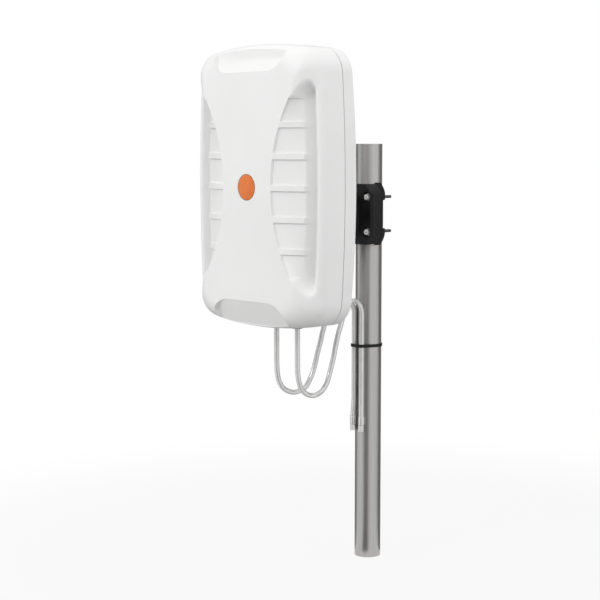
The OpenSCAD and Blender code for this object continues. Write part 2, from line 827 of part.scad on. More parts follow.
board_front = tray_y - board_gap - board_t;
board_foot_gap = 4;
board_head_gap = 30;
board_foot = -tray_h / 2 + board_foot_gap;
board_head = tray_h / 2 - board_head_gap;
standoff_x = board_w / 2 - 8;
standoff_z = [-140, 0, 140];
standoff_r = 3;
board_screw_r = 1.5;
board_head_r = 2.7;
board_head_h = 2;
board_key_af = 2;
driver_y = board_front - driver_gap;
near_y = driver_y - director_gap;
far_y = near_y - director_gap;
post_steps = [9, 6, 4.5, 3];
plate_fit = 0.1;
pin_x = 22;
pin_r = 0.8;
launcher_w = 18;
launcher_gap = 1;
launcher_z0 = -tray_h / 2;
launcher_h = hump_z - shell_wall - launcher_gap - launcher_z0;
launcher_z = launcher_z0 + launcher_h / 2;
launcher_rear = gland_y + 6;
launcher_pin_r = 1.2;

module at_standoffs() {
    for (x = [-1, 1], z = standoff_z) translate([x * standoff_x, 0, z]) children();
}
module at_stacks() {
    both_z() translate([0, 0, stack_z]) children();
}

module reflector_tray() {
    w = tray_w / 2;
    color("silver") on_panel() difference() {
        union() {
            translate([-w, tray_y, -tray_h / 2]) cube([tray_w, tray_t, tray_h]);
            both_x() translate([w - tray_t, tray_rear - tray_lip, -tray_h / 2])
                cube([tray_t, tray_lip, tray_h]);
        }
        at_tray_posts() rod_y(post_screw_r + bolt_fit, tray_y - 1, tray_rear + 1);
        both_x() translate([gland_x, 0, launcher_z]) rod_y(3 * launcher_pin_r, tray_y - 1, tray_rear + 1);
    }
}

module reflector_screws() {
    color("silver") on_panel() at_tray_posts() {
        rod_y(post_screw_r, tray_y - 1, tray_rear + post_hole_d - 1);
        translate([0, tray_y, 0]) mirror([0, 1, 0]) key_head(post_head_r, post_head_h, post_key_af);
    }
}

module feed_board() {
    color("darkgreen") on_panel() difference() {
        translate([-board_w / 2, board_front, board_foot])
            cube([board_w, board_t, board_head - board_foot]);
        at_standoffs() rod_y(board_screw_r + bolt_fit, board_front - 1, tray_y);
    }
}

module board_standoffs() {
    color("khaki") on_panel() at_standoffs() difference() {
        rod_y(standoff_r, tray_y - board_gap, tray_y);
        rod_y(board_screw_r + screw_fit, tray_y - board_gap - 1, tray_y + 1);
    }
}

module board_screws() {
    color("silver") on_panel() at_standoffs() {
        rod_y(board_screw_r, board_front - 1, tray_y - 0.5);
        translate([0, board_front, 0]) mirror([0, 1, 0]) key_head(board_head_r, board_head_h, board_key_af);
    }
}

module driver() {
    color("peru") on_panel() difference() {
        rotate([0, 45, 0]) translate([-driver_w / 2, driver_y - element_t, -driver_w / 2])
            cube([driver_w, element_t, driver_w]);
        rod_y(post_steps[1] + plate_fit, driver_y - through, driver_y + through);
    }
}
module director(y, d, post_r) {
    color("silver") on_panel() difference() {
        rod_y(d / 2, y - element_t, y);
        rod_y(post_r + plate_fit, y - through, y + through);
    }
}
module element_post() {
    color("ivory") on_panel() {
        rod_y(post_steps[0], driver_y, board_front);
        rod_y(post_steps[1], near_y, driver_y + 1);
        rod_y(post_steps[2], far_y, near_y + 1);
        rod_y(post_steps[3], far_y - 4, far_y + 1);
    }
}
module upper_driver() { translate([0, 0, stack_z]) driver(); }
module lower_driver() { translate([0, 0, -stack_z]) driver(); }
module near_director() { director(near_y, near_director_d, post_steps[2]); }
module far_director() { director(far_y, far_director_d, post_steps[3]); }
module upper_near_director() { translate([0, 0, stack_z]) near_director(); }
module lower_near_director() { translate([0, 0, -stack_z]) near_director(); }
module upper_far_director() { translate([0, 0, stack_z]) far_director(); }
module lower_far_director() { translate([0, 0, -stack_z]) far_director(); }
module upper_element_post() { translate([0, 0, stack_z]) element_post(); }
module lower_element_post() { translate([0, 0, -stack_z]) element_post(); }

module feed_pins() {
    color("gold") on_panel() at_stacks() both_x() translate([pin_x, 0, 0])
        rod_y(pin_r, driver_y, board_front);
}

module launcher() {
    translate([gland_x - launcher_w / 2, tray_rear, launcher_z0])
        cube([launcher_w, launcher_rear - tray_rear, launcher_h]);
    translate([gland_x, 0, launcher_z]) rod_y(launcher_pin_r, board_front + board_t, tray_rear + 1);
}
module left_launcher() { color("gold") on_panel() mirror([1, 0, 0]) launcher(); }
module right_launcher() { color("gold") on_panel() launcher(); }

// Cable glands

collar_h = 4;
neck_h = 5;
gland_nut_h = 10;
locknut_h = 4;
gland_top = 12;
collar_z = notch_z - collar_h;
nut_floor = 2;

module at_gland(side) { on_panel() translate([side * gland_x, gland_y, 0]) children(); }

module gland_body(side) {
    color("gray") at_gland(side) difference() {
        union() {
            hex_z(gland_af, collar_z, notch_z);
            rod_z(gland_thread_r, notch_z - 1, notch_z + gland_top);
            rod_z(gland_neck_r, collar_z - neck_h, collar_z + 1);
        }
        rod_z(gland_bore, collar_z - reach, notch_z + reach);
    }
}
module gland_nut(side) {
    color("gray") at_gland(side) difference() {
        hex_z(gland_nut_af, collar_z - gland_nut_h, collar_z);
        rod_z(gland_neck_r + run_fit, collar_z - gland_nut_h + nut_floor, collar_z + 1);
        rod_z(gland_bore, collar_z - gland_nut_h - 1, collar_z);
    }
}
module left_gland_body() { gland_body(-1); }
module right_gland_body() { gland_body(1); }
module left_gland_nut() { gland_nut(-1); }
module right_gland_nut() { gland_nut(1); }

module gland_locknuts() {
    color("gray") for (side = [-1, 1]) at_gland(side) difference() {
        hex_z(gland_af, notch_z + shell_wall, notch_z + shell_wall + locknut_h);
        rod_z(gland_thread_r + run_fit, notch_z, notch_z + 2 * shell_wall + locknut_h);
    }
}

module gland_seals() {
    z0 = collar_z - gland_nut_h + nut_floor;
    color("black") for (side = [-1, 1]) at_gland(side) difference() {
        rod_z(gland_neck_r - slide_gap, z0, collar_z - neck_h);
        rod_z(cable_r + run_fit, z0 - 1, collar_z);
    }
}

// Cables

cable_sides = 12;

// Middle of the right cable from its inner end: down out of the gland, round the drip loop,
// up behind the panel, over the hook and down the front of the mast
cable_route = [
    [24, -179, 428], [24, -179, 410], [24, -179, 396], [24, -179, 380], [24, -179, 360], [24, -179, 340],
    [24, -178, 322], [24, -175, 308], [23, -169, 297], [23, -160, 290], [22, -150, 286], [22, -140, 285],
    [21, -130, 287], [20, -120, 292], [20, -112, 302], [19, -106, 314], [19, -101, 328], [19, -96, 344],
    [18, -91, 360], [18, -86, 376], [18, -80, 391], [16, -73, 404], [14, -65, 415], [12, -56, 423],
    [11, -46, 426], [10, -35, 423], [9, -27, 415], [8.5, -24, 404], [8.5, -24, 388], [8.5, -24, 368],
    [8.5, -24, 345], [8.5, -24, 322], [8.5, -24, 300], [8.5, -24, 280], [8.5, -24, 263], [9, -24.5, 250],
    [9.5, -25, 241], [9.5, -25, 235]];
cable_end = cable_route[len(cable_route) - 1];

function unit(v) = v / norm(v);
function along(route, i) = unit(route[min(i + 1, len(route) - 1)] - route[max(i - 1, 0)]);
function cable_ring(route, i) =
    let(t = along(route, i), u = unit([1, 0, 0] - t[0] * t), v = cross(t, u))
    [for (k = [0:cable_sides - 1]) let(a = 360 * k / cable_sides)
        route[i] + cable_r * (cos(a) * u + sin(a) * v)];

// A round tube swept along a route, its two ends flat
module cable(route) {
    n = cable_sides;
    last = len(route) - 1;
    polyhedron(
        points = [for (i = [0:last]) each cable_ring(route, i)],
        faces = concat(
            [[for (k = [0:n - 1]) k]],
            [for (i = [0:last - 1]) for (k = [0:n - 1]) let(j = (k + 1) % n, a = i * n, b = a + n)
                each [[a + k, b + k, b + j], [a + k, b + j, a + j]]],
            [[for (k = [n - 1:-1:0]) last * n + k]]));
}

module left_cable() { color("lightgray") mirror([1, 0, 0]) cable(cable_route); }
module right_cable() { color("lightgray") cable(cable_route); }

// Plug at each cable's end, with a nut that turns on it

boot_r = 5;
boot_h = 14;
barrel_r = 3;
barrel_h = 8;
coupling_af = 9;
coupling_h = 10;
coupling_gap = 0.3;
insulator_bore = 2;
contact_r = 0.6;

module plug() {
    z = cable_end[2] - boot_h;
    color("lightgray") translate([cable_end[0], cable_end[1], 0]) {
        rod_z(boot_r, z, cable_end[2]);
        difference() {
            rod_z(barrel_r, z - barrel_h, z + 1);
            rod_z(insulator_bore, z - barrel_h - 1, z - 2);
        }
        rod_z(contact_r, z - barrel_h, z - 1);
    }
}
module coupling() {
    top = cable_end[2] - boot_h - coupling_gap;
    color("silver") translate([cable_end[0], cable_end[1], 0]) difference() {
        hex_z(coupling_af, top - coupling_h, top);
        rod_z(barrel_r + run_fit, top - coupling_h - 1, top + 1);
    }
}
module left_connector() { mirror([1, 0, 0]) plug(); }
module right_connector() { plug(); }
module left_coupling_nut() { mirror([1, 0, 0]) coupling(); }
module right_coupling_nut() { coupling(); }

// Cable tie round the mast and both cables

tie_head_w = 8;
tie_head_d = 5.5;
tie_x = 8.5;
tie_y = -24;

module tie_loop(grow) {
    linear_extrude(tie_h, center = true) hull() {
        circle(mast_r + grow);
        for (s = [-1, 1]) translate([s * tie_x, tie_y]) circle(cable_r + grow);
    }
}
module cable_tie_strap() {
    color([0.1, 0.1, 0.1]) translate([0, 0, tie_z]) difference() {
        tie_loop(tie_fit + tie_t);
        scale([1, 1, 2]) tie_loop(tie_fit);
    }
}
module cable_tie_head() {
    color([0.1, 0.1, 0.1]) translate([0, 0, tie_z]) rotate([0, 0, 135])
        translate([mast_r + tie_fit + tie_t, -tie_head_w / 2, -tie_h / 2 - 1])
            cube([tie_head_d, tie_head_w, tie_h + 2]);
}

mast();
mast_saddle();
mast_jaw();
clamp_bolts();
clamp_washers();
clamp_nuts();
pivot_bolt();
pivot_nut();
pivot_washers();
lock_bolt();
lock_nut();
lock_washers();
back_plate();
plate_screws();
rear_cover();
rim_seal();
cover_screws();
front_radome();
badge();
vent_plug();
reflector_tray();
reflector_screws();
feed_board();
board_standoffs();
board_screws();
upper_driver();
lower_driver();
upper_near_director();
lower_near_director();
upper_far_director();
lower_far_director();
upper_element_post();
lower_element_post();
feed_pins();
left_launcher();
right_launcher();
left_gland_body();
right_gland_body();
gland_locknuts();
gland_seals();
left_gland_nut();
right_gland_nut();
left_cable();
right_cable();
left_connector();
right_connector();
left_coupling_nut();
right_coupling_nut();
cable_tie_strap();
cable_tie_head();
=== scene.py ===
import json
from math import atan2, cos, degrees, pi, radians, sin, sqrt

import bmesh
import bpy
from mathutils import Matrix, Vector

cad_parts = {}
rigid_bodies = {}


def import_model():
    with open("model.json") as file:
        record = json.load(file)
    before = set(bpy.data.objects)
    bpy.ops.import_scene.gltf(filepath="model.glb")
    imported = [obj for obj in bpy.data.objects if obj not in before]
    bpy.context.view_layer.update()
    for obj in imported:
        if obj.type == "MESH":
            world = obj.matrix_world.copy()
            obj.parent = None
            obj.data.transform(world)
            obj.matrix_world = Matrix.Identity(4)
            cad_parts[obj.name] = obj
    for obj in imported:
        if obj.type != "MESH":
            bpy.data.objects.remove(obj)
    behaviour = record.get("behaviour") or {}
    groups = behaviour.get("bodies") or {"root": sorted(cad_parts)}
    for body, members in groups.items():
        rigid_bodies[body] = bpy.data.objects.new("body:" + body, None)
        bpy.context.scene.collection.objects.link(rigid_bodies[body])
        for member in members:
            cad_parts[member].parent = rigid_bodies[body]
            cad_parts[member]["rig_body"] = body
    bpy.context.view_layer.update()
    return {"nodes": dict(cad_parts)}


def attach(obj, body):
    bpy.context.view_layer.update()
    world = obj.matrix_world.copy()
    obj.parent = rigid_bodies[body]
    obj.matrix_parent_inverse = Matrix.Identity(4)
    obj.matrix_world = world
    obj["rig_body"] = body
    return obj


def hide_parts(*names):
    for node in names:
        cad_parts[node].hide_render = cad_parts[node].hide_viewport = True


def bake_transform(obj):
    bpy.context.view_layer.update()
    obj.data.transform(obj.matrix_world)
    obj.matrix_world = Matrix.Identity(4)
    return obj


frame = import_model()
bpy.ops.object.select_all(action='DESELECT')  # the nodes come in selected
scene = bpy.context.scene
scene.view_settings.view_transform = 'Standard'
mm = 0.001
samePlace = 0.01 * mm

# camera, fitted to the photograph's outlines
photoCamera = {
    "place": (1.7399, -1.7464, 0.6785),
    "turn": (84.09, 0, 47.49),  # degrees
    "lens": 91.11,
    "sensor": 36,
}
bpy.ops.object.camera_add(location=photoCamera["place"],
                          rotation=[radians(a) for a in photoCamera["turn"]])
camera = bpy.context.object
camera.name = "photoCamera"
camera.data.lens = photoCamera["lens"]
camera.data.sensor_width = photoCamera["sensor"]
scene.camera = camera
print("camera placed")


def activate(piece):
    bpy.ops.object.select_all(action='DESELECT')
    piece.select_set(True)
    bpy.context.view_layer.objects.active = piece


def applyModifier(piece, kind, **settings):
    activate(piece)
    modifier = piece.modifiers.new(kind.lower(), kind)
    for key, value in settings.items():
        setattr(modifier, key, value)
    bpy.ops.object.modifier_apply(modifier=modifier.name)


def mergeDoubles(piece):
    activate(piece)
    bpy.ops.object.mode_set(mode='EDIT')
    bpy.ops.mesh.select_all(action='SELECT')
    bpy.ops.mesh.remove_doubles(threshold=samePlace)
    bpy.ops.object.mode_set(mode='OBJECT')


def pick(piece, kind, wanted):
    # selects the points, edges or faces that pass a test, in edit mode
    bpy.ops.mesh.select_mode(type=kind)
    bpy.ops.mesh.select_all(action='DESELECT')
    shape = bmesh.from_edit_mesh(piece.data)
    for element in {'VERT': shape.verts, 'EDGE': shape.edges, 'FACE': shape.faces}[kind]:
        element.select = wanted(element)
    if kind == 'VERT':
        shape.select_flush(True)
    bmesh.update_edit_mesh(piece.data)


# finishes' and pieces' names follow the record's and the nodes' own
def camelName(name):
    first, *rest = name.split("_")
    return first + "".join(word.capitalize() for word in rest)


def slotName(finish):
    return "".join("_" + letter.lower() if letter.isupper() else letter for letter in finish)


edgeAngles = {"flat": 1, "eased": 40, "smooth": 35}  # degrees


def softCopy(node, ease, segments=2):
    # a merged copy of a node with its edges eased, which stands for it
    piece = bpy.data.objects.new(camelName(node + "_eased"), frame["nodes"][node].data.copy())
    piece.data.name = piece.name
    scene.collection.objects.link(piece)
    mergeDoubles(piece)
    bpy.ops.object.mode_set(mode='EDIT')
    bpy.ops.mesh.select_all(action='SELECT')
    bpy.ops.mesh.dissolve_limited(angle_limit=radians(edgeAngles["flat"]))
    bpy.ops.object.mode_set(mode='OBJECT')
    applyModifier(piece, 'BEVEL', width=ease * mm, segments=segments, limit_method='ANGLE',
                  angle_limit=radians(edgeAngles["eased"]))
    bpy.ops.object.shade_smooth_by_angle(angle=radians(edgeAngles["smooth"]))
    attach(piece, frame["nodes"][node]["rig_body"])
    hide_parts(node)
    return piece


# cables: out of the glands, round the drip loop, over the hook and down the mast
cableRun = {
    "diameter": 8,
    "steps": 5,  # points from one of the route's to the next
    "roundness": 8,
    "smooth": 50,  # degrees
    "plugEase": 1,
    "nutEase": 0.5,
    "glandExit": (24, -179, 394),
    "route": [
        (24, -179, 402), (24, -179, 396), (24, -179, 380), (24, -179, 360), (24, -179, 340),
        (24, -178, 322), (24, -175, 308), (23, -169, 297), (23, -160, 290), (22, -150, 286),
        (22, -140, 285), (21, -130, 287), (20, -120, 292), (20, -112, 302), (19, -106, 314),
        (19, -101, 328), (19, -96, 344), (18, -91, 360), (18, -86, 376), (18, -80, 391),
        (16, -73, 404), (14, -65, 415), (12, -56, 423), (11, -46, 426), (10, -35, 423),
        (9, -27, 415), (8.5, -24, 404), (8.5, -24, 388), (8.5, -24, 368), (8.5, -24, 345),
        (8.5, -24, 322), (8.5, -24, 300), (8.5, -24, 280), (8.5, -24, 263), (9, -24.5, 250),
        (9.5, -25, 241), (9.5, -25, 235)],
    "bendFrom": (0, -60, 0),  # where the route's bracket end begins
    "bendTo": (0, -172, 0),  # and where its panel end begins
}


def smoothRoute(points, steps):
    # Catmull-Rom through the route's points
    ends = [points[0], *points, points[-1]]
    line = []
    for a, b, c, d in zip(ends, ends[1:], ends[2:], ends[3:]):
        for i in range(steps):
            t = i / steps
            line.append(0.5 * (2 * b + (c - a) * t + (2 * a - 5 * b + 4 * c - d) * t ** 2
                               + (3 * b - a - 3 * c + d) * t ** 3))
    return line + [points[-1]]


def makeCable(side, sign):
    toSide = Vector((sign, 1, 1)) * mm
    line = smoothRoute([Vector(p) * toSide for p in cableRun["route"]], cableRun["steps"])
    curve = bpy.data.curves.new(side + "CableJacket", 'CURVE')
    curve.dimensions = '3D'
    spline = curve.splines.new('POLY')
    spline.points.add(len(line) - 1)
    for point, place in zip(spline.points, line):
        point.co = (*place, 1)
    curve.bevel_depth = cableRun["diameter"] / 2 * mm
    curve.bevel_resolution = cableRun["roundness"]
    curve.use_fill_caps = True
    cable = bpy.data.objects.new(side + "CableJacket", curve)
    scene.collection.objects.link(cable)
    activate(cable)
    bpy.ops.object.convert(target='MESH')
    cable = bpy.context.object
    mergeDoubles(cable)
    bpy.ops.object.shade_smooth_by_angle(angle=radians(cableRun["smooth"]))
    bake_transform(cable)
    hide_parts(side + "_cable")
    plug = softCopy(side + "_connector", cableRun["plugEase"])
    nut = softCopy(side + "_coupling_nut", cableRun["nutEase"])
    return {"cableGrey": [cable, plug], "platedNickel": [nut]}


cables = [makeCable("left", -1), makeCable("right", 1)]

# floor and light
studio = {
    "floorRadius": 6,
    "floorSides": 96,
    "fadeFrom": 0.5,  # the floor's shadow fades out between these
    "fadeTo": 1.1,
    "floorColour": 0.44,
    "glow": 0.9,  # share of the floor that is plain white
    "skyLow": 1.68,  # light from the horizon and from overhead
    "skyHigh": 0.86,
    "keyPlace": (0, -2.9, 2),
    "keySize": 0.7,
    "keyPower": 20,
    "aim": (0, -0.2, 0.6),
}


def seenDirectly(tree):
    # 1 for the camera, mirror-like reflections and see-through rays, else 0
    path = tree.nodes.new("ShaderNodeLightPath")
    total = path.outputs["Is Camera Ray"]
    for ray in ("Is Glossy Ray", "Is Transmission Ray"):
        both = tree.nodes.new("ShaderNodeMath")
        both.operation = 'MAXIMUM'
        tree.links.new(total, both.inputs[0])
        tree.links.new(path.outputs[ray], both.inputs[1])
        total = both.outputs[0]
    return total


def floorFinish():
    finish = bpy.data.materials.new("studioFloor")
    finish.use_nodes = True
    tree = finish.node_tree
    shader = tree.nodes["Principled BSDF"]
    shader.inputs["Base Color"].default_value = (*[studio["floorColour"]] * 3, 1)
    shader.inputs["Roughness"].default_value = 1
    shader.inputs["Specular IOR Level"].default_value = 0
    white = tree.nodes.new("ShaderNodeEmission")
    place = tree.nodes.new("ShaderNodeTexCoord")
    reach = tree.nodes.new("ShaderNodeVectorMath")
    reach.operation = 'LENGTH'
    tree.links.new(place.outputs["Object"], reach.inputs[0])
    fade = tree.nodes.new("ShaderNodeMapRange")
    fade.interpolation_type = 'SMOOTHSTEP'
    fade.inputs["From Min"].default_value = studio["fadeFrom"]
    fade.inputs["From Max"].default_value = studio["fadeTo"]
    fade.inputs["To Min"].default_value = studio["glow"]
    tree.links.new(reach.outputs["Value"], fade.inputs["Value"])
    share = tree.nodes.new("ShaderNodeMath")
    share.operation = 'MULTIPLY'
    tree.links.new(seenDirectly(tree), share.inputs[0])
    tree.links.new(fade.outputs["Result"], share.inputs[1])
    mix = tree.nodes.new("ShaderNodeMixShader")
    tree.links.new(share.outputs[0], mix.inputs["Fac"])
    tree.links.new(shader.outputs["BSDF"], mix.inputs[1])
    tree.links.new(white.outputs["Emission"], mix.inputs[2])
    tree.links.new(mix.outputs["Shader"], tree.nodes["Material Output"].inputs["Surface"])
    return finish


bpy.ops.mesh.primitive_circle_add(vertices=studio["floorSides"], radius=studio["floorRadius"],
                                  fill_type='NGON')
floor = bpy.context.object
floor.name = "studioFloor"
floor.data.materials.append(floorFinish())

sky = bpy.data.worlds.new("studioSky")
sky.use_nodes = True
scene.world = sky
skyLight = sky.node_tree.nodes["Background"]
skyLight.inputs["Color"].default_value = (1, 1, 1, 1)
skyRange = sky.node_tree.nodes.new("ShaderNodeMapRange")
skyRange.inputs["To Max"].default_value = 1
skyPlace = sky.node_tree.nodes.new("ShaderNodeTexCoord")
skyHeight = sky.node_tree.nodes.new("ShaderNodeSeparateXYZ")
skyFall = sky.node_tree.nodes.new("ShaderNodeMapRange")
skyFall.inputs["To Min"].default_value = studio["skyLow"]
skyFall.inputs["To Max"].default_value = studio["skyHigh"]
sky.node_tree.links.new(skyPlace.outputs["Generated"], skyHeight.inputs["Vector"])
sky.node_tree.links.new(skyHeight.outputs["Z"], skyFall.inputs["Value"])
sky.node_tree.links.new(skyFall.outputs["Result"], skyRange.inputs["To Min"])
sky.node_tree.links.new(seenDirectly(sky.node_tree), skyRange.inputs["Value"])
sky.node_tree.links.new(skyRange.outputs["Result"], skyLight.inputs["Strength"])

bpy.ops.object.light_add(type='AREA', location=studio["keyPlace"])
keyLight = bpy.context.object
keyLight.name = "keyLight"
keyLight.data.shape = 'DISK'
keyLight.data.size = studio["keySize"]
keyLight.data.energy = studio["keyPower"]
toAim = Vector(studio["aim"]) - Vector(studio["keyPlace"])
keyLight.rotation_euler = toAim.to_track_quat('-Z', 'Y').to_euler()

# dark cards that the metal shows its roundness by: reflections see each lie on the floor
# from the mast's foot outwards and then stand up; some that stand also shade the white shells
cards = {
    "distance": 2.6,
    "height": 2.2,
    "lift": 0.002,  # above the floor
    "tip": 0.012,  # share of its width at the mast's foot
    "shade": 0.2,
    "places": [(-61, 2.1, True), (67, 1.5, False), (104, 1.9, True), (-176, 1.6, True),
               (151, 1.7, True)],  # bearing in degrees, width, and whether it shades
}
cardFinish = bpy.data.materials.new("darkCard")
cardFinish.use_nodes = True
cardShader = cardFinish.node_tree.nodes["Principled BSDF"]
cardShader.inputs["Base Color"].default_value = (0, 0, 0, 1)
cardShader.inputs["Specular IOR Level"].default_value = 0
cardShader.inputs["Emission Color"].default_value = (1, 1, 1, 1)
cardShader.inputs["Emission Strength"].default_value = cards["shade"]


def addCard(name, low, high):
    # a flat card between two corners
    bpy.ops.object.select_all(action='DESELECT')
    middle = (Vector(low) + Vector(high)) / 2
    upright = low[0] == high[0]
    bpy.ops.mesh.primitive_plane_add(size=1, location=middle, rotation=(0, pi / 2 if upright else 0, 0))
    bpy.ops.object.transform_apply()
    card = bpy.context.object
    card.name = name
    bpy.ops.object.mode_set(mode='EDIT')
    bpy.ops.mesh.select_mode(type='VERT')
    bpy.ops.mesh.select_all(action='SELECT')
    bpy.ops.transform.resize(value=[b - a or 1 for a, b in zip(low, high)], center_override=middle)
    return card


def narrowTip(card):
    pick(card, 'VERT', lambda vert: vert.co.x < cards["distance"] / 2)
    bpy.ops.transform.resize(value=(1, cards["tip"], 1), center_override=(0, 0, 0))


def stageCard(card, bearing, shades):
    bpy.ops.object.mode_set(mode='OBJECT')
    card.rotation_euler = (0, 0, radians(bearing))
    card.data.materials.append(cardFinish)
    card.visible_camera = False
    card.visible_diffuse = card.visible_shadow = shades


def makeCard(name, bearing, width, shades):
    far, side, foot = cards["distance"], width / 2, cards["lift"]
    lying = addCard(name + "Lying", (far * cards["tip"], -side, foot), (far, side, foot))
    narrowTip(lying)
    stageCard(lying, bearing, False)
    standing = addCard(name + "Standing", (far, -side, foot), (far, side, foot + cards["height"]))
    stageCard(standing, bearing, shades)


for number, place in enumerate(cards["places"]):
    makeCard("darkCard%d" % number, *place)
print("floor, lights and cards placed")

# finishes
mouldedLooks = {
    "radomeWhite": {"colour": (0.84, 0.84, 0.835), "deep": (0.81, 0.81, 0.805), "rough": (0.38, 0.46),
                    "patch": 9, "grain": 900, "bump": 0.06},
    "coverWhite": {"colour": (0.83, 0.83, 0.825), "deep": (0.8, 0.8, 0.795), "rough": (0.4, 0.48),
                   "patch": 9, "grain": 900, "bump": 0.06},
    "badgeOrange": {"colour": (0.76, 0.175, 0.014), "deep": (0.68, 0.14, 0.01), "rough": (0.22, 0.3),
                    "patch": 60, "grain": 1500, "bump": 0.02},
    "bracketBlack": {"colour": (0.013, 0.013, 0.013), "deep": (0.008, 0.008, 0.008), "rough": (0.42, 0.58),
                     "patch": 45, "grain": 1400, "bump": 0.18, "gloss": 0.22},
    "cableGrey": {"colour": (0.74, 0.74, 0.735), "deep": (0.68, 0.68, 0.675), "rough": (0.15, 0.22),
                  "patch": 60, "grain": 1100, "bump": 0.04, "metal": 0.5},
    "glandGrey": {"colour": (0.32, 0.33, 0.34), "deep": (0.27, 0.28, 0.29), "rough": (0.45, 0.6),
                  "patch": 70, "grain": 1300, "bump": 0.12},
    "sealBlack": {"colour": (0.03, 0.03, 0.03), "deep": (0.02, 0.02, 0.02), "rough": (0.7, 0.85),
                  "patch": 70, "grain": 1600, "bump": 0.2},
    "boardGreen": {"colour": (0.02, 0.16, 0.07), "deep": (0.012, 0.11, 0.045), "rough": (0.3, 0.42),
                   "patch": 120, "grain": 2200, "bump": 0.08},
    "postIvory": {"colour": (0.8, 0.77, 0.66), "deep": (0.74, 0.7, 0.58), "rough": (0.45, 0.6),
                  "patch": 80, "grain": 1500, "bump": 0.1},
}
metalLooks = {
    "mastSteel": {"colour": (0.5, 0.485, 0.475), "deep": (0.43, 0.42, 0.41), "rough": (0.33, 0.39),
                  "stretch": (260, 260, 5), "bump": 0.008},
    "zincSteel": {"colour": (0.93, 0.93, 0.92), "deep": (0.84, 0.84, 0.83), "rough": (0.3, 0.42),
                  "stretch": (700, 700, 700), "bump": 0.05, "metal": 0.4},
    "darkSteel": {"colour": (0.2, 0.2, 0.21), "deep": (0.13, 0.13, 0.14), "rough": (0.32, 0.48),
                  "stretch": (700, 700, 700), "bump": 0.05},
    "sheetAluminium": {"colour": (0.74, 0.75, 0.76), "deep": (0.64, 0.65, 0.66), "rough": (0.3, 0.42),
                       "stretch": (12, 400, 400), "bump": 0.03},
    "copper": {"colour": (0.72, 0.36, 0.18), "deep": (0.58, 0.26, 0.12), "rough": (0.25, 0.4),
               "stretch": (300, 300, 300), "bump": 0.03},
    "platedBrass": {"colour": (0.78, 0.6, 0.25), "deep": (0.66, 0.48, 0.18), "rough": (0.2, 0.34),
                    "stretch": (500, 500, 500), "bump": 0.03},
    "platedNickel": {"colour": (0.68, 0.67, 0.64), "deep": (0.58, 0.57, 0.54), "rough": (0.16, 0.28),
                     "stretch": (600, 600, 600), "bump": 0.03},
}


lookForm = {
    "patchDetail": 4,
    "grainDetail": 3,
    "deepTo": 0.3,  # the noise at which the deep colour ends and the plain one is reached
    "plainFrom": 0.7,
    "bumpDepth": 0.1,
}


def noiseOn(tree, scale, detail):
    # noise on the piece's own coordinates, in metres
    place = tree.nodes.new("ShaderNodeTexCoord")
    spread = tree.nodes.new("ShaderNodeMapping")
    spread.inputs["Scale"].default_value = scale
    noise = tree.nodes.new("ShaderNodeTexNoise")
    noise.inputs["Scale"].default_value = 1
    noise.inputs["Detail"].default_value = detail
    tree.links.new(place.outputs["Object"], spread.inputs["Vector"])
    tree.links.new(spread.outputs["Vector"], noise.inputs["Vector"])
    return noise.outputs["Fac"]


def startFinish(name, look, patchScale, grainScale):
    finish = bpy.data.materials.new(name)
    finish.use_nodes = True
    tree = finish.node_tree
    shader = tree.nodes["Principled BSDF"]
    patches = noiseOn(tree, patchScale, lookForm["patchDetail"])
    colours = tree.nodes.new("ShaderNodeValToRGB")
    colours.color_ramp.elements[0].position = lookForm["deepTo"]
    colours.color_ramp.elements[0].color = (*look["deep"], 1)
    colours.color_ramp.elements[1].position = lookForm["plainFrom"]
    colours.color_ramp.elements[1].color = (*look["colour"], 1)
    tree.links.new(patches, colours.inputs["Fac"])
    tree.links.new(colours.outputs["Color"], shader.inputs["Base Color"])
    grain = noiseOn(tree, grainScale, lookForm["grainDetail"])
    rough = tree.nodes.new("ShaderNodeMapRange")
    rough.inputs["To Min"].default_value = look["rough"][0]
    rough.inputs["To Max"].default_value = look["rough"][1]
    tree.links.new(grain, rough.inputs["Value"])
    tree.links.new(rough.outputs["Result"], shader.inputs["Roughness"])
    bump = tree.nodes.new("ShaderNodeBump")
    bump.inputs["Strength"].default_value = look["bump"]
    bump.inputs["Distance"].default_value = lookForm["bumpDepth"] * mm
    tree.links.new(grain, bump.inputs["Height"])
    tree.links.new(bump.outputs["Normal"], shader.inputs["Normal"])
    return finish, shader


finishes = {}
for name, look in mouldedLooks.items():
    finishes[name], shader = startFinish(name, look, [look["patch"]] * 3, [look["grain"]] * 3)
    shader.inputs["Specular IOR Level"].default_value = look.get("gloss", 0.5)
    shader.inputs["Metallic"].default_value = look.get("metal", 0)
for name, look in metalLooks.items():
    finishes[name], shader = startFinish(name, look, look["stretch"], look["stretch"])
    shader.inputs["Metallic"].default_value = look.get("metal", 1)
print(len(finishes), "finishes made")


def dress(piece, finish):
    piece.data.materials.clear()
    piece.data.materials.append(finishes[finish])


for cable in cables:
    for finish, pieces in cable.items():
        for piece in pieces:
            dress(piece, finish)
            slotName(finish)

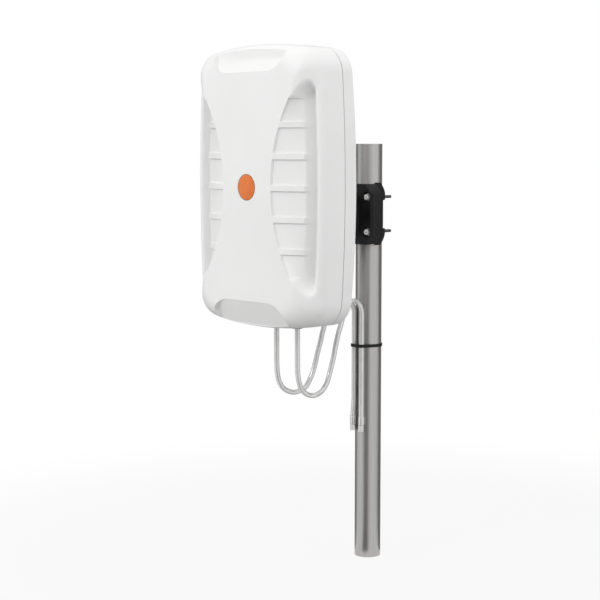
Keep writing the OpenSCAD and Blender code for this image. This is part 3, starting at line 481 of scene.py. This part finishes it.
# front shell: a flat band, sloping windows between ribs, a groove and a rounded rim
panelForm = {
    "middle": (0, -261, 612),  # the front face's centre
    "halfWidth": 145,
    "halfHeight": 214,
    "corner": 31,
    "leastCorner": 10,
    "sideBow": 9,
    "endBow": 14,
    "endRound": 27,  # how far in the rounding starts at the head and foot
    "sideRound": 45,  # and at the sides' ends
    "sideFrom": 30,  # degrees from upright, where the ends' rounding turns into the sides'
    "sideRun": 20,
    "sideFlatness": 1.55,  # 2 is an ellipse, 1 a plain chamfer
    "roundEnd": 36.5,  # depth where the rounding meets the side
    "sideLoop": 50,
    "seam": 66.5,
    "wall": 2.6,
}
seamForm = {
    "half": 0.2,  # half of the gap between the shells
    "easeDepth": 0.9,
    "easeIn": 0.3,
    "capIn": 1,
    "capSlack": 0.6,
    "capFacing": 0.95,
}
quarterTurn = (0, 22.5, 45, 67.5, 90)
relief = {
    "bandHalf": 54,
    "bandEndHalf": 94,
    "bandInner": 0.96,  # a loop just inside the band's edge
    "field": 262,  # height of the windows' field
    "windows": 6,
    "pitch": 46.5,  # the windows at the ends are shorter
    "rib": 8.3,
    "windowLip": 1.2,
    "windowStep": 3.4,
    "rowsPast": (136, 141, 145, 149, 153, 157, 162, 167),  # heights of the rows past the windows
    "slopeShares": (0.03, 0.34, 0.67, 1),
    "footIn": 34.3,  # foot of the slope
    "footDepth": 17,
    "footCrease": 0.7,
    "groove": [(29, 34.5), (23.5, 37.5), (17.3, 28.5)],  # insets and depths across the groove
    "crestIn": 12,
    "crestDepth": 21.5,
    "bulge": 2,  # the slope's curve
    "pocketHalf": 159.5,
    "pocketRun": 17,
    "pocketSlant": 1.1,  # the pockets end lower towards the band
    "slantIn": 19,  # from this inset on
    "bandSpread": 1.3,
    "pinchZ": 141,  # where the band has spread out to the slope's foot
    "bandEndZ": 170,
    "slack": 0.1,  # off a height or a plane, and still taken as on it
    "bandCorner": (92, 152, 8),  # centre and radius of the band's corners
}
straightZ = panelForm["halfHeight"] - panelForm["corner"]
sideEndZ = straightZ * (1 - panelForm["endBow"] / panelForm["halfHeight"])
fieldHalf = relief["field"] / 2
fieldEnd = fieldHalf * straightZ / sideEndZ  # before the sides' bow
arcRise = relief["bandEndHalf"] - relief["bandHalf"]
arcRadius = (fieldHalf ** 2 + arcRise ** 2) / (2 * arcRise)


def onPanel(x, y, z):
    return (Vector((x, y, z)) + Vector(panelForm["middle"])) * mm


def fromPanel(place):
    return place / mm - Vector(panelForm["middle"])


def smooth(t):
    t = min(1, max(0, t))
    return t * t * (3 - 2 * t)


def halfSpokes():
    # right half of the outline from the foot's middle to the head's:
    # share across, share up, angle, and whether a window's floor lies there
    endSteps, cornerSteps, windowSteps = 8, 6, 3
    side = []
    for i in range(relief["windows"]):
        middle = (i - (relief["windows"] - 1) / 2) * relief["pitch"]
        windowHalf = (relief["pitch"] - relief["rib"]) / 2
        low, high = max(middle - windowHalf, -fieldHalf), min(middle + windowHalf, fieldHalf)
        floorLow, floorHigh = low + relief["windowLip"], high - relief["windowLip"]
        floor = [floorLow + (floorHigh - floorLow) * k / windowSteps for k in range(windowSteps + 1)]
        side += [(low, False)] + [(z, True) for z in floor] + [(high, False)]
    past = [(z, False) for z in relief["rowsPast"]]
    side = [(-z, window) for z, window in reversed(past)] + side + past
    side = [(1, z / sideEndZ, 0, window) for z, window in side]
    top = [(1, 1, pi / 2 * i / cornerSteps, False) for i in range(cornerSteps + 1)]
    top += [(i / endSteps, 1, pi / 2, False) for i in range(endSteps - 1, -1, -1)]
    foot = [(across, -1, -angle, False) for across, up, angle, window in reversed(top)]
    return foot + side + top


def allSpokes():
    half = halfSpokes()
    return half + [(-across, up, pi - angle, window) for across, up, angle, window in half[-2:0:-1]]


spokes = allSpokes()


def outlinePoint(spoke, inset):
    across, up, angle, window = spoke
    a = panelForm["halfWidth"] - inset
    b = panelForm["halfHeight"] - inset
    r = max(panelForm["corner"] - inset, panelForm["leastCorner"])
    x = across * (a - r) + r * cos(angle)
    z = abs(up) * straightZ
    if z > fieldEnd:  # rows past the windows close up on the inner loops
        z = fieldEnd + (z - fieldEnd) * (b - r - fieldEnd) / (straightZ - fieldEnd)
    z = (z if up > 0 else -z) + r * sin(angle)
    bowX = panelForm["sideBow"] / panelForm["halfWidth"] * (z / b) ** 2
    bowZ = panelForm["endBow"] / panelForm["halfHeight"] * (x / a) ** 2
    return x * (1 - bowX), z * (1 - bowZ)


def shellDepth(spoke, inset):
    # the rounding without its pockets
    x, z = outlinePoint(spoke, inset)
    turn = degrees(atan2(abs(x) / panelForm["halfWidth"], abs(z) / panelForm["halfHeight"]))
    side = smooth((turn - panelForm["sideFrom"]) / panelForm["sideRun"])
    start = panelForm["endRound"] + (panelForm["sideRound"] - panelForm["endRound"]) * side
    power = 2 + (panelForm["sideFlatness"] - 2) * side
    reach = max(0, 1 - inset / start)
    return panelForm["roundEnd"] * (1 - (1 - reach ** power) ** (1 / power))


def pocketShare(z, inset):
    end = relief["pocketHalf"] - max(0, inset - relief["slantIn"]) * relief["pocketSlant"]
    return smooth((end - abs(z)) / relief["pocketRun"])


def shellPoint(spoke, inset, pocketDepth):
    x, z = outlinePoint(spoke, inset)
    plain = shellDepth(spoke, inset)
    return Vector((x, plain + (pocketDepth - plain) * pocketShare(z, inset), z))


def bandPoint(spoke):
    across, up, angle, window = spoke
    cornerX, cornerZ, cornerR = relief["bandCorner"]
    if abs(up) < 1:
        z = up * sideEndZ
        if abs(z) <= fieldHalf:
            x = relief["bandHalf"] + arcRadius - sqrt(arcRadius ** 2 - z ** 2)
        else:
            x = min(relief["bandEndHalf"] + relief["bandSpread"] * (abs(z) - fieldHalf), cornerX + cornerR)
            past = max(0, abs(z) - relief["pinchZ"]) / (sideEndZ - relief["pinchZ"])
            z = (min(abs(z), relief["pinchZ"]) + past * (cornerZ - relief["pinchZ"])) * (1 if z > 0 else -1)
        return Vector((x * across, 0, z))
    if abs(across) == 1:
        return Vector((across * cornerX + cornerR * cos(angle), 0, up * cornerZ + cornerR * sin(angle)))
    drop = relief["bandEndZ"] - cornerZ - cornerR
    return Vector((across * cornerX, 0, up * (relief["bandEndZ"] - drop * across ** 2)))


def slopePoint(spoke, share):
    # between the band's edge and the slope's foot; straight at the windows, curved past them
    edge = bandPoint(spoke)
    foot = shellPoint(spoke, relief["footIn"], relief["footDepth"])
    point = edge.lerp(foot, share)
    pocket = pocketShare(foot.z, relief["footIn"])
    point.y *= share + (1 - share) * pocket
    point.y -= relief["bulge"] * 4 * share * (1 - share) * pocket
    if spoke[3]:
        point.y += relief["windowStep"]
    return point


def startLoop(name, places):
    bpy.ops.object.select_all(action='DESELECT')
    bpy.ops.mesh.primitive_circle_add(vertices=len(places))
    piece = bpy.context.object
    piece.name = piece.data.name = name
    for layer in ("spoke", "ring"):
        piece.data.attributes.new(layer, 'INT', 'POINT')
    piece.data.attributes["spoke"].data.foreach_set("value", range(len(places)))
    bpy.ops.object.mode_set(mode='EDIT')
    bpy.ops.mesh.select_mode(type='VERT')
    bpy.ops.mesh.select_all(action='SELECT')
    placeLoop(piece, places, 0)
    return piece


def placeLoop(piece, places, ring):
    shape = bmesh.from_edit_mesh(piece.data)
    spokeLayer, ringLayer = shape.verts.layers.int["spoke"], shape.verts.layers.int["ring"]
    for vert in shape.verts:
        if vert.select:
            vert.co = onPanel(*places[vert[spokeLayer]])
            vert[ringLayer] = ring
    bmesh.update_edit_mesh(piece.data)


def lastRing(piece):
    shape = bmesh.from_edit_mesh(piece.data)
    return max(vert[shape.verts.layers.int["ring"]] for vert in shape.verts)


def extrudeLoop(piece, places):
    ring = lastRing(piece) + 1
    bpy.ops.mesh.extrude_region()
    placeLoop(piece, places, ring)


def selectSpokes(piece, ring, wanted):
    bpy.ops.mesh.select_mode(type='VERT')
    bpy.ops.mesh.select_all(action='DESELECT')
    shape = bmesh.from_edit_mesh(piece.data)
    spokeLayer, ringLayer = shape.verts.layers.int["spoke"], shape.verts.layers.int["ring"]
    for vert in shape.verts:
        vert.select = vert[ringLayer] == ring and wanted(vert[spokeLayer])
    shape.select_flush(True)
    bmesh.update_edit_mesh(piece.data)


def fillAcross(piece, ring):
    # level strips from side to side, and a triangle at the head and the foot
    middles = [i for i, spoke in enumerate(spokes) if spoke[0] == 0]
    selectSpokes(piece, ring, lambda i: i not in middles)
    bpy.ops.mesh.bridge_edge_loops()
    for middle in middles:
        near = [(middle + step) % len(spokes) for step in (-1, 0, 1)]
        selectSpokes(piece, ring, lambda i: i in near)
        bpy.ops.mesh.edge_face_add()


def creaseWindows(piece, edgeRing, floorRing, footRing):
    # sharp along the windows' rims and floors, and where the slope meets band and groove
    shape = bmesh.from_edit_mesh(piece.data)
    spokeLayer, ringLayer = shape.verts.layers.int["spoke"], shape.verts.layers.int["ring"]
    edgeCrease = shape.edges.layers.float.new("crease_edge")
    vertCrease = shape.verts.layers.float.new("crease_vert")
    count = len(spokes)

    def rimRow(i):
        return spokes[i][3] != spokes[i - 1][3] or spokes[i][3] != spokes[(i + 1) % count][3]

    for edge in shape.edges:
        rings = sorted(vert[ringLayer] for vert in edge.verts)
        rows = [vert[spokeLayer] for vert in edge.verts]
        heights = [abs(fromPanel(vert.co).z) for vert in edge.verts]
        if max(heights) > fieldHalf + relief["slack"]:
            continue
        alongRing = rings[0] == rings[1]
        if alongRing and rings[0] in (edgeRing, floorRing):
            edge[edgeCrease] = 1
        elif alongRing and rings[0] == footRing:
            edge[edgeCrease] = relief["footCrease"]
        elif rows[0] == rows[1] and rimRow(rows[0]) and edgeRing <= rings[0] and rings[1] <= footRing:
            edge[edgeCrease] = 1
    for vert in shape.verts:
        if rimRow(vert[spokeLayer]) and vert[ringLayer] in (edgeRing, floorRing):
            vert[vertCrease] = 1
    bmesh.update_edit_mesh(piece.data)


# hollows at the head and the foot, and the badge's seat
hollow = {
    "width": 152,
    "draft": 1.7,  # how much wider the cutter is in front of the face
    "startZ": 171.5,
    "lip": 0.3,  # depth at its start
    "lean": 28,  # degrees
    "headBack": 10.5,  # depth of the back wall
    "footBack": 20,
    "corner": 24,
    "cornerSteps": 10,
    "reach": 70,
}
badgeSeat = {"radius": 20, "depth": 1.5, "sides": 96}


def makeScoopCutter(sign):
    bpy.ops.object.select_all(action='DESELECT')
    bpy.ops.mesh.primitive_cube_add(size=1)
    cutter = bpy.context.object
    bpy.ops.object.mode_set(mode='EDIT')
    bpy.ops.transform.resize(value=[hollow[key] * mm for key in ("width", "reach", "reach")])
    half = hollow["reach"] / 2 * mm
    bpy.ops.transform.translate(value=(0, -half, half))
    pick(cutter, 'VERT', lambda vert: vert.co.y < -half)
    bpy.ops.transform.resize(value=(hollow["draft"], 1, 1), center_override=(0, 0, 0))

    def lowCorner(edge):
        first, second = [vert.co for vert in edge.verts]
        return max(first.z, second.z) < half and first.x * second.x > 0

    pick(cutter, 'EDGE', lowCorner)
    bpy.ops.mesh.bevel(offset=hollow["corner"] * mm, segments=hollow["cornerSteps"])
    bpy.ops.mesh.select_all(action='SELECT')
    bpy.ops.transform.rotate(value=radians(hollow["lean"]), orient_axis='X', center_override=(0, 0, 0))
    bpy.ops.transform.translate(value=(0, hollow["lip"] * mm, hollow["startZ"] * mm))
    back = hollow["headBack" if sign > 0 else "footBack"]
    bpy.ops.mesh.bisect(plane_co=(0, back * mm, 0), plane_no=(0, 1, 0), use_fill=True, clear_outer=True)
    bpy.ops.mesh.select_all(action='SELECT')
    if sign < 0:
        bpy.ops.transform.resize(value=(1, 1, -1), center_override=(0, 0, 0))
        bpy.ops.mesh.normals_make_consistent(inside=False)
    bpy.ops.transform.translate(value=Vector(panelForm["middle"]) * mm)
    bpy.ops.object.mode_set(mode='OBJECT')
    return cutter


def makeBadgeCutter():
    bpy.ops.object.select_all(action='DESELECT')
    bpy.ops.mesh.primitive_cylinder_add(vertices=badgeSeat["sides"], radius=badgeSeat["radius"] * mm,
                                        depth=2 * badgeSeat["depth"] * mm)
    cutter = bpy.context.object
    bpy.ops.object.mode_set(mode='EDIT')
    bpy.ops.transform.rotate(value=pi / 2, orient_axis='X', center_override=(0, 0, 0))
    bpy.ops.transform.translate(value=Vector(panelForm["middle"]) * mm)
    bpy.ops.object.mode_set(mode='OBJECT')
    return cutter


def openSeam(piece, depth):
    # takes away the cap that closed the piece for cutting
    activate(piece)
    bpy.ops.object.mode_set(mode='EDIT')

    def onCap(face):
        away = abs(fromPanel(face.calc_center_median()).y - depth)
        return away < seamForm["capSlack"] and abs(face.normal.y) > seamForm["capFacing"]

    pick(piece, 'FACE', onCap)
    bpy.ops.mesh.delete(type='FACE')
    bpy.ops.object.mode_set(mode='OBJECT')


def sinkInside(piece):
    # at the windows' corners the wall's inside comes out through the face
    bpy.ops.object.mode_set(mode='EDIT')
    pick(piece, 'VERT', lambda vert: fromPanel(vert.co).y < -relief["slack"])
    bpy.ops.transform.resize(value=(1, 0, 1), center_override=onPanel(0, panelForm["wall"], 0))
    bpy.ops.object.mode_set(mode='OBJECT')


def closeShell(piece):
    # caps both ends and smooths
    fillAcross(piece, 0)
    fillAcross(piece, lastRing(piece))
    bpy.ops.mesh.select_all(action='SELECT')
    bpy.ops.mesh.normals_make_consistent(inside=False)
    bpy.ops.object.mode_set(mode='OBJECT')
    for layer in ("spoke", "ring"):
        piece.data.attributes.remove(piece.data.attributes[layer])
    applyModifier(piece, 'SUBSURF', levels=2, render_levels=2)


def makeFrontShell():
    shell = startLoop("frontShell", [bandPoint(s) * relief["bandInner"] for s in spokes])
    extrudeLoop(shell, [bandPoint(s) for s in spokes])
    for share in relief["slopeShares"]:
        extrudeLoop(shell, [slopePoint(s, share) for s in spokes])
    for inset, depth in relief["groove"]:
        extrudeLoop(shell, [shellPoint(s, inset, depth) for s in spokes])
    radius = relief["crestIn"]
    for turn in quarterTurn:
        inset = radius * (1 - sin(radians(turn)))
        depth = relief["crestDepth"] + radius * (1 - cos(radians(turn)))
        extrudeLoop(shell, [shellPoint(s, inset, depth) for s in spokes])
    seamEnd = panelForm["seam"] - seamForm["half"]
    for inset, depth in ((0, panelForm["sideLoop"]), (0, panelForm["seam"] - seamForm["easeDepth"]),
                         (seamForm["easeIn"], seamEnd), (seamForm["capIn"], seamEnd)):
        outline = [outlinePoint(s, inset) for s in spokes]
        extrudeLoop(shell, [(x, depth, z) for x, z in outline])
    creaseWindows(shell, edgeRing=1, floorRing=2, footRing=5)
    closeShell(shell)
    for cutter in (makeScoopCutter(1), makeScoopCutter(-1), makeBadgeCutter()):
        applyModifier(shell, 'BOOLEAN', operation='DIFFERENCE', solver='EXACT', object=cutter)
        bpy.data.objects.remove(cutter)
    openSeam(shell, seamEnd)
    applyModifier(shell, 'SOLIDIFY', thickness=panelForm["wall"] * mm, offset=-1)
    sinkInside(shell)
    return shell


frontShell = makeFrontShell()
dress(frontShell, "radomeWhite")
bpy.ops.object.shade_smooth_by_angle(angle=radians(edgeAngles["smooth"]))
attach(frontShell, "panel")
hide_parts("front_radome")
print("front shell", len(frontShell.data.polygons), "faces")


# rear cover: bowed back, with pads for the plate, screw wells, a vent and the cables' outlet
coverForm = {
    "depth": 87.5,
    "bow": 4.5,
    "round": 5,
    "wall": 2.6,
    "sideLoop": 8,  # behind the seam
    "backLoops": (8, 20),
    "bite": 1,  # overlap of bosses and cutters with what they join
    "stagger": 0.1,  # keeps faces off each other's planes
    "boreRoot": 10,  # how far before the back the bores start
    "cutPast": 60,  # how far the notch's cutter goes out of the cover
    "rodSides": 48,
    "easeSteps": 3,
    "padTop": 94.5,
    "padRoot": 6,
    "pad": 9,
    "padEase": 0.8,
    "padPlaces": [(x, z) for x in (-42, 42) for z in (-79, -15)],
    "padBore": 3.05,
    "well": 4.25,
    "wellSeat": 74.5,
    "wellCut": 20,
    "wellWall": 2.25,
    "wellPlaces": [(127.5, 0), (125.1, 110), (125.1, -110), (84, 191.8), (84, -191.8)],  # and mirrored
    "vent": (92, -118),
    "ventBoss": 11,
    "ventBore": 5.05,
    "ventTop": 93.6,
    "ventEase": 0.5,
    "outlet": {"half": 40, "top": -168, "foot": -204, "rear": 94.9, "ease": 2.5, "start": 84},
    "notch": {"half": 37, "front": 69.5, "sideFoot": -212, "sideRear": 83, "rise": 0.1},
    "glandPlaces": [(-24, 82), (24, 82)],
    "glandBore": 7.25,
    "glandCut": 8,
}


def rearDepth(z):
    return coverForm["bow"] * (1 - (z / panelForm["halfHeight"]) ** 2)


def coverLoop(inset, depth, bowed):
    outline = [outlinePoint(s, inset) for s in spokes]
    return [(x, depth + rearDepth(z) * bowed, z) for x, z in outline]


def startTools(name):
    # an empty mesh in edit mode that primitives are added to
    bpy.ops.object.select_all(action='DESELECT')
    bpy.ops.mesh.primitive_cube_add(size=1)
    tools = bpy.context.object
    tools.name = name
    bpy.ops.object.mode_set(mode='EDIT')
    bpy.ops.mesh.select_mode(type='VERT')
    bpy.ops.mesh.delete(type='VERT')
    return tools


def addRod(x, z, radius, front, rear, ease=0):
    # a rod along Y, its far end eased
    bpy.ops.mesh.select_all(action='DESELECT')
    bpy.ops.mesh.primitive_cylinder_add(vertices=coverForm["rodSides"], radius=radius * mm,
                                        depth=(rear - front) * mm, rotation=(pi / 2, 0, 0),
                                        location=onPanel(x, (front + rear) / 2, z))
    if ease:
        easeEnd(onPanel(x, rear, z).y, ease)


def easeEnd(farY, ease):
    bpy.ops.mesh.select_mode(type='EDGE')
    shape = bmesh.from_edit_mesh(bpy.context.object.data)
    for edge in shape.edges:
        if edge.select:
            edge.select = all(abs(vert.co.y - farY) < samePlace for vert in edge.verts)
    bmesh.update_edit_mesh(bpy.context.object.data)
    bpy.ops.mesh.bevel(offset=ease * mm, segments=coverForm["easeSteps"])
    bpy.ops.mesh.select_mode(type='VERT')


def addBox(low, high, ease=0):
    bpy.ops.mesh.select_all(action='DESELECT')
    size = [b - a for a, b in zip(low, high)]
    bpy.ops.mesh.primitive_cube_add(size=1, location=onPanel(*[(a + b) / 2 for a, b in zip(low, high)]),
                                    scale=[side * mm for side in size])
    if ease:
        bpy.ops.mesh.bevel(offset=ease * mm, segments=coverForm["easeSteps"])


def endTools(tools):
    bpy.ops.mesh.select_all(action='SELECT')
    bpy.ops.mesh.normals_make_consistent(inside=False)
    bpy.ops.object.mode_set(mode='OBJECT')
    return tools


def makeCoverBosses():
    outlet, notch = coverForm["outlet"], coverForm["notch"]
    bite, stagger = coverForm["bite"], coverForm["stagger"]
    front, back = panelForm["seam"] + bite, coverForm["depth"] - bite
    tools = startTools("coverBosses")
    for x, z in coverForm["padPlaces"]:
        addRod(x, z, coverForm["pad"], coverForm["depth"] - coverForm["padRoot"], coverForm["padTop"],
               coverForm["padEase"])
    for x, z in coverForm["wellPlaces"]:
        for side in (-1, 1):
            addRod(side * x, z, coverForm["well"] + coverForm["wellWall"], front, back)
    addRod(*coverForm["vent"], coverForm["ventBoss"], back, coverForm["ventTop"], coverForm["ventEase"])
    addBox((-outlet["half"], outlet["start"], outlet["foot"]),
           (outlet["half"], outlet["rear"], outlet["top"]), outlet["ease"])
    addBox((stagger - outlet["half"], front + stagger, outlet["foot"] + stagger / 2),
           (outlet["half"] - stagger, outlet["rear"] - outlet["ease"], outlet["foot"] + coverForm["wall"]))
    for side in (-1, 1):
        near, far = sorted((side * notch["half"], side * (outlet["half"] - 2 * stagger)))
        addBox((near, front + 2 * stagger, notch["sideFoot"]),
               (far, notch["sideRear"], outlet["foot"] + bite))
    return endTools(tools)


def makeCoverCutters():
    outlet, notch = coverForm["outlet"], coverForm["notch"]
    bite, past = coverForm["bite"], coverForm["cutPast"]
    boreStart = coverForm["depth"] - coverForm["boreRoot"]
    tools = startTools("coverCutters")
    for x, z in coverForm["wellPlaces"]:
        for side in (-1, 1):
            addRod(side * x, z, coverForm["well"], coverForm["wellSeat"],
                   coverForm["depth"] + coverForm["wellCut"])
    for x, z in coverForm["padPlaces"]:
        addRod(x, z, coverForm["padBore"], boreStart, coverForm["padTop"] + bite)
    addRod(*coverForm["vent"], coverForm["ventBore"], boreStart, coverForm["ventTop"] + bite)
    addBox((-notch["half"], notch["front"], outlet["foot"] - past),
           (notch["half"], notch["front"] + past, outlet["foot"] + notch["rise"]))
    addBox((-notch["half"], notch["front"], outlet["foot"] + coverForm["wall"]),
           (notch["half"], outlet["rear"] - coverForm["wall"], outlet["top"] - coverForm["wall"]))
    for x, y in coverForm["glandPlaces"]:
        bpy.ops.mesh.select_all(action='DESELECT')
        bpy.ops.mesh.primitive_cylinder_add(
            vertices=coverForm["rodSides"], radius=coverForm["glandBore"] * mm,
            depth=coverForm["glandCut"] * mm, location=onPanel(x, y, outlet["foot"]))
    return endTools(tools)


def makeRearCover():
    seam = panelForm["seam"]
    seamEnd = seam + seamForm["half"]
    cover = startLoop("rearShell", coverLoop(seamForm["capIn"], seamEnd, 0))
    extrudeLoop(cover, coverLoop(seamForm["easeIn"], seamEnd, 0))
    extrudeLoop(cover, coverLoop(0, seam + seamForm["easeDepth"], 0))
    extrudeLoop(cover, coverLoop(0, seam + coverForm["sideLoop"], 0))
    for turn in quarterTurn:
        inset = coverForm["round"] * (1 - cos(radians(turn)))
        depth = coverForm["depth"] - coverForm["round"] * (1 - sin(radians(turn)))
        extrudeLoop(cover, coverLoop(inset, depth, 1))
    for inset in coverForm["backLoops"]:
        extrudeLoop(cover, coverLoop(inset, coverForm["depth"], 1))
    closeShell(cover)
    openSeam(cover, seamEnd)
    applyModifier(cover, 'SOLIDIFY', thickness=coverForm["wall"] * mm, offset=-1)
    for tools, operation in ((makeCoverBosses(), 'UNION'), (makeCoverCutters(), 'DIFFERENCE')):
        applyModifier(cover, 'BOOLEAN', operation=operation, solver='MANIFOLD', object=tools)
        bpy.data.objects.remove(tools)
    mergeDoubles(cover)
    return cover


rearShell = makeRearCover()
dress(rearShell, "coverWhite")
bpy.ops.object.shade_smooth_by_angle(angle=radians(edgeAngles["smooth"]))
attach(rearShell, "panel")
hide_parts("rear_cover")
print("rear shell", len(rearShell.data.polygons), "faces")

# badge: painted shade, a dark line round its rim where the gap round the badge lies in shade
badgeForm = {"ease": 0.8, "easeSteps": 4, "rimFrom": 18.1, "rimTo": 19.2, "rimShadeColour": (0.3, 0.1, 0.02)}


def addRimShade(finish):
    tree = finish.node_tree
    shader = tree.nodes["Principled BSDF"]
    plain = shader.inputs["Base Color"].links[0].from_socket
    place = tree.nodes.new("ShaderNodeTexCoord")
    reach = tree.nodes.new("ShaderNodeVectorMath")
    reach.operation = 'DISTANCE'
    reach.inputs[1].default_value = onPanel(0, 0, 0)
    tree.links.new(place.outputs["Object"], reach.inputs[0])
    # painted shade: the colour turns dark between these radii, at the badge's rim
    edge = tree.nodes.new("ShaderNodeMapRange")
    edge.interpolation_type = 'SMOOTHSTEP'
    edge.inputs["From Min"].default_value = badgeForm["rimFrom"] * mm
    edge.inputs["From Max"].default_value = badgeForm["rimTo"] * mm
    tree.links.new(reach.outputs["Value"], edge.inputs["Value"])
    mix = tree.nodes.new("ShaderNodeMix")
    mix.data_type = 'RGBA'
    colours = [socket for socket in mix.inputs if socket.type == 'RGBA']
    colours[1].default_value = (*badgeForm["rimShadeColour"], 1)
    tree.links.new(edge.outputs["Result"], mix.inputs["Factor"])
    tree.links.new(plain, colours[0])
    mixed = [socket for socket in mix.outputs if socket.type == 'RGBA']
    tree.links.new(mixed[0], shader.inputs["Base Color"])


addRimShade(finishes["badgeOrange"])
badge = softCopy("badge", badgeForm["ease"], badgeForm["easeSteps"])
dress(badge, "badgeOrange")

# small and machined pieces: the CAD shapes with eased edges, millimetres
easedNodes = {
    "mastSteel": {"mast": 0.5},
    "bracketBlack": {"mast_saddle": 1.6, "mast_jaw": 1.4, "back_plate": 1.2, "cable_tie_strap": 0.4,
                     "cable_tie_head": 0.8},
    "zincSteel": {"clamp_bolts": 0.5, "clamp_washers": 0.3, "pivot_washers": 0.3, "lock_washers": 0.3,
                  "cover_screws": 0.4},
    "darkSteel": {"clamp_nuts": 0.5, "pivot_bolt": 0.6, "pivot_nut": 0.6, "lock_bolt": 0.5,
                  "lock_nut": 0.5, "plate_screws": 0.6},
    "glandGrey": {"left_gland_body": 0.7, "right_gland_body": 0.7, "left_gland_nut": 1.2,
                  "right_gland_nut": 1.2, "vent_plug": 0.6},
}
easedPieces = {}
for finish, eases in easedNodes.items():
    for node, ease in eases.items():
        piece = softCopy(node, ease)
        dress(piece, finish)
        slotName(finish)
        easedPieces[node] = piece
print("eased pieces made")

# threads on the clamp bolts' tails, as rings
clampThread = {
    "outer": 2.5,
    "core": 2.1,
    "pitch": 0.8,
    "turns": 28,
    "sides": 24,
    "overlap": 0.1,
    "places": [(x, z) for x in (-31, 31) for z in (537.5, 592.5)],
}


def makeThread():
    bpy.ops.object.select_all(action='DESELECT')
    bpy.ops.mesh.primitive_circle_add(vertices=clampThread["sides"], radius=clampThread["core"] * mm,
                                      fill_type='NGON', rotation=(pi / 2, 0, 0))
    bpy.ops.object.transform_apply()
    rod = bpy.context.object
    bpy.ops.object.mode_set(mode='EDIT')
    bpy.ops.mesh.select_all(action='SELECT')
    swell = clampThread["outer"] / clampThread["core"]
    for turn in range(clampThread["turns"]):
        for scale in (swell, 1 / swell):
            bpy.ops.mesh.extrude_region()
            bpy.ops.transform.translate(value=(0, clampThread["pitch"] / 2 * mm, 0))
            bpy.ops.transform.resize(value=(scale, 1, scale), center_override=(0, 0, 0))
    bpy.ops.mesh.select_all(action='SELECT')
    bpy.ops.mesh.normals_make_consistent(inside=False)
    bpy.ops.object.mode_set(mode='OBJECT')
    return rod


def cutTails(bolts, start):
    activate(bolts)
    bpy.ops.object.mode_set(mode='EDIT')
    bpy.ops.mesh.select_all(action='SELECT')
    bpy.ops.mesh.bisect(plane_co=(0, start, 0), plane_no=(0, 1, 0), use_fill=True, clear_outer=True)
    bpy.ops.object.mode_set(mode='OBJECT')


def makeTails(bolts):
    end = max(vert.co.y for vert in bolts.data.vertices)
    start = end - clampThread["turns"] * clampThread["pitch"] * mm
    cutTails(bolts, start + clampThread["overlap"] * mm)
    rod = makeThread()
    tails = []
    for x, z in clampThread["places"]:
        tail = bpy.data.objects.new("clampTails", rod.data.copy())
        tail.data.transform(Matrix.Translation((x * mm, start, z * mm)))
        scene.collection.objects.link(tail)
        tails.append(tail)
    bpy.data.objects.remove(rod)
    activate(tails[0])
    for tail in tails:
        tail.select_set(True)
    bpy.ops.object.join()
    return tails[0]


clampTails = makeTails(easedPieces["clamp_bolts"])
# painted shade: the zinc bolts' tails are dressed in dark steel, standing in for the dark surroundings they
# mirror
dress(clampTails, "darkSteel")
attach(clampTails, "bracket")
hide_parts("clamp_bolts")
print("threads made")

# what lies inside the shells keeps its CAD shape
nodeFinishes = {
    "zincSteel": ["reflector_screws", "board_screws"],
    "sealBlack": ["rim_seal", "gland_seals"],
    "sheetAluminium": ["reflector_tray", "upper_near_director", "lower_near_director",
                       "upper_far_director", "lower_far_director"],
    "boardGreen": ["feed_board"],
    "postIvory": ["board_standoffs", "upper_element_post", "lower_element_post"],
    "copper": ["upper_driver", "lower_driver"],
    "platedBrass": ["feed_pins", "left_launcher", "right_launcher"],
    "glandGrey": ["gland_locknuts"],
}
for finish, names in nodeFinishes.items():
    for name in names:
        dress(frame["nodes"][name], finish)
print("nodes dressed")
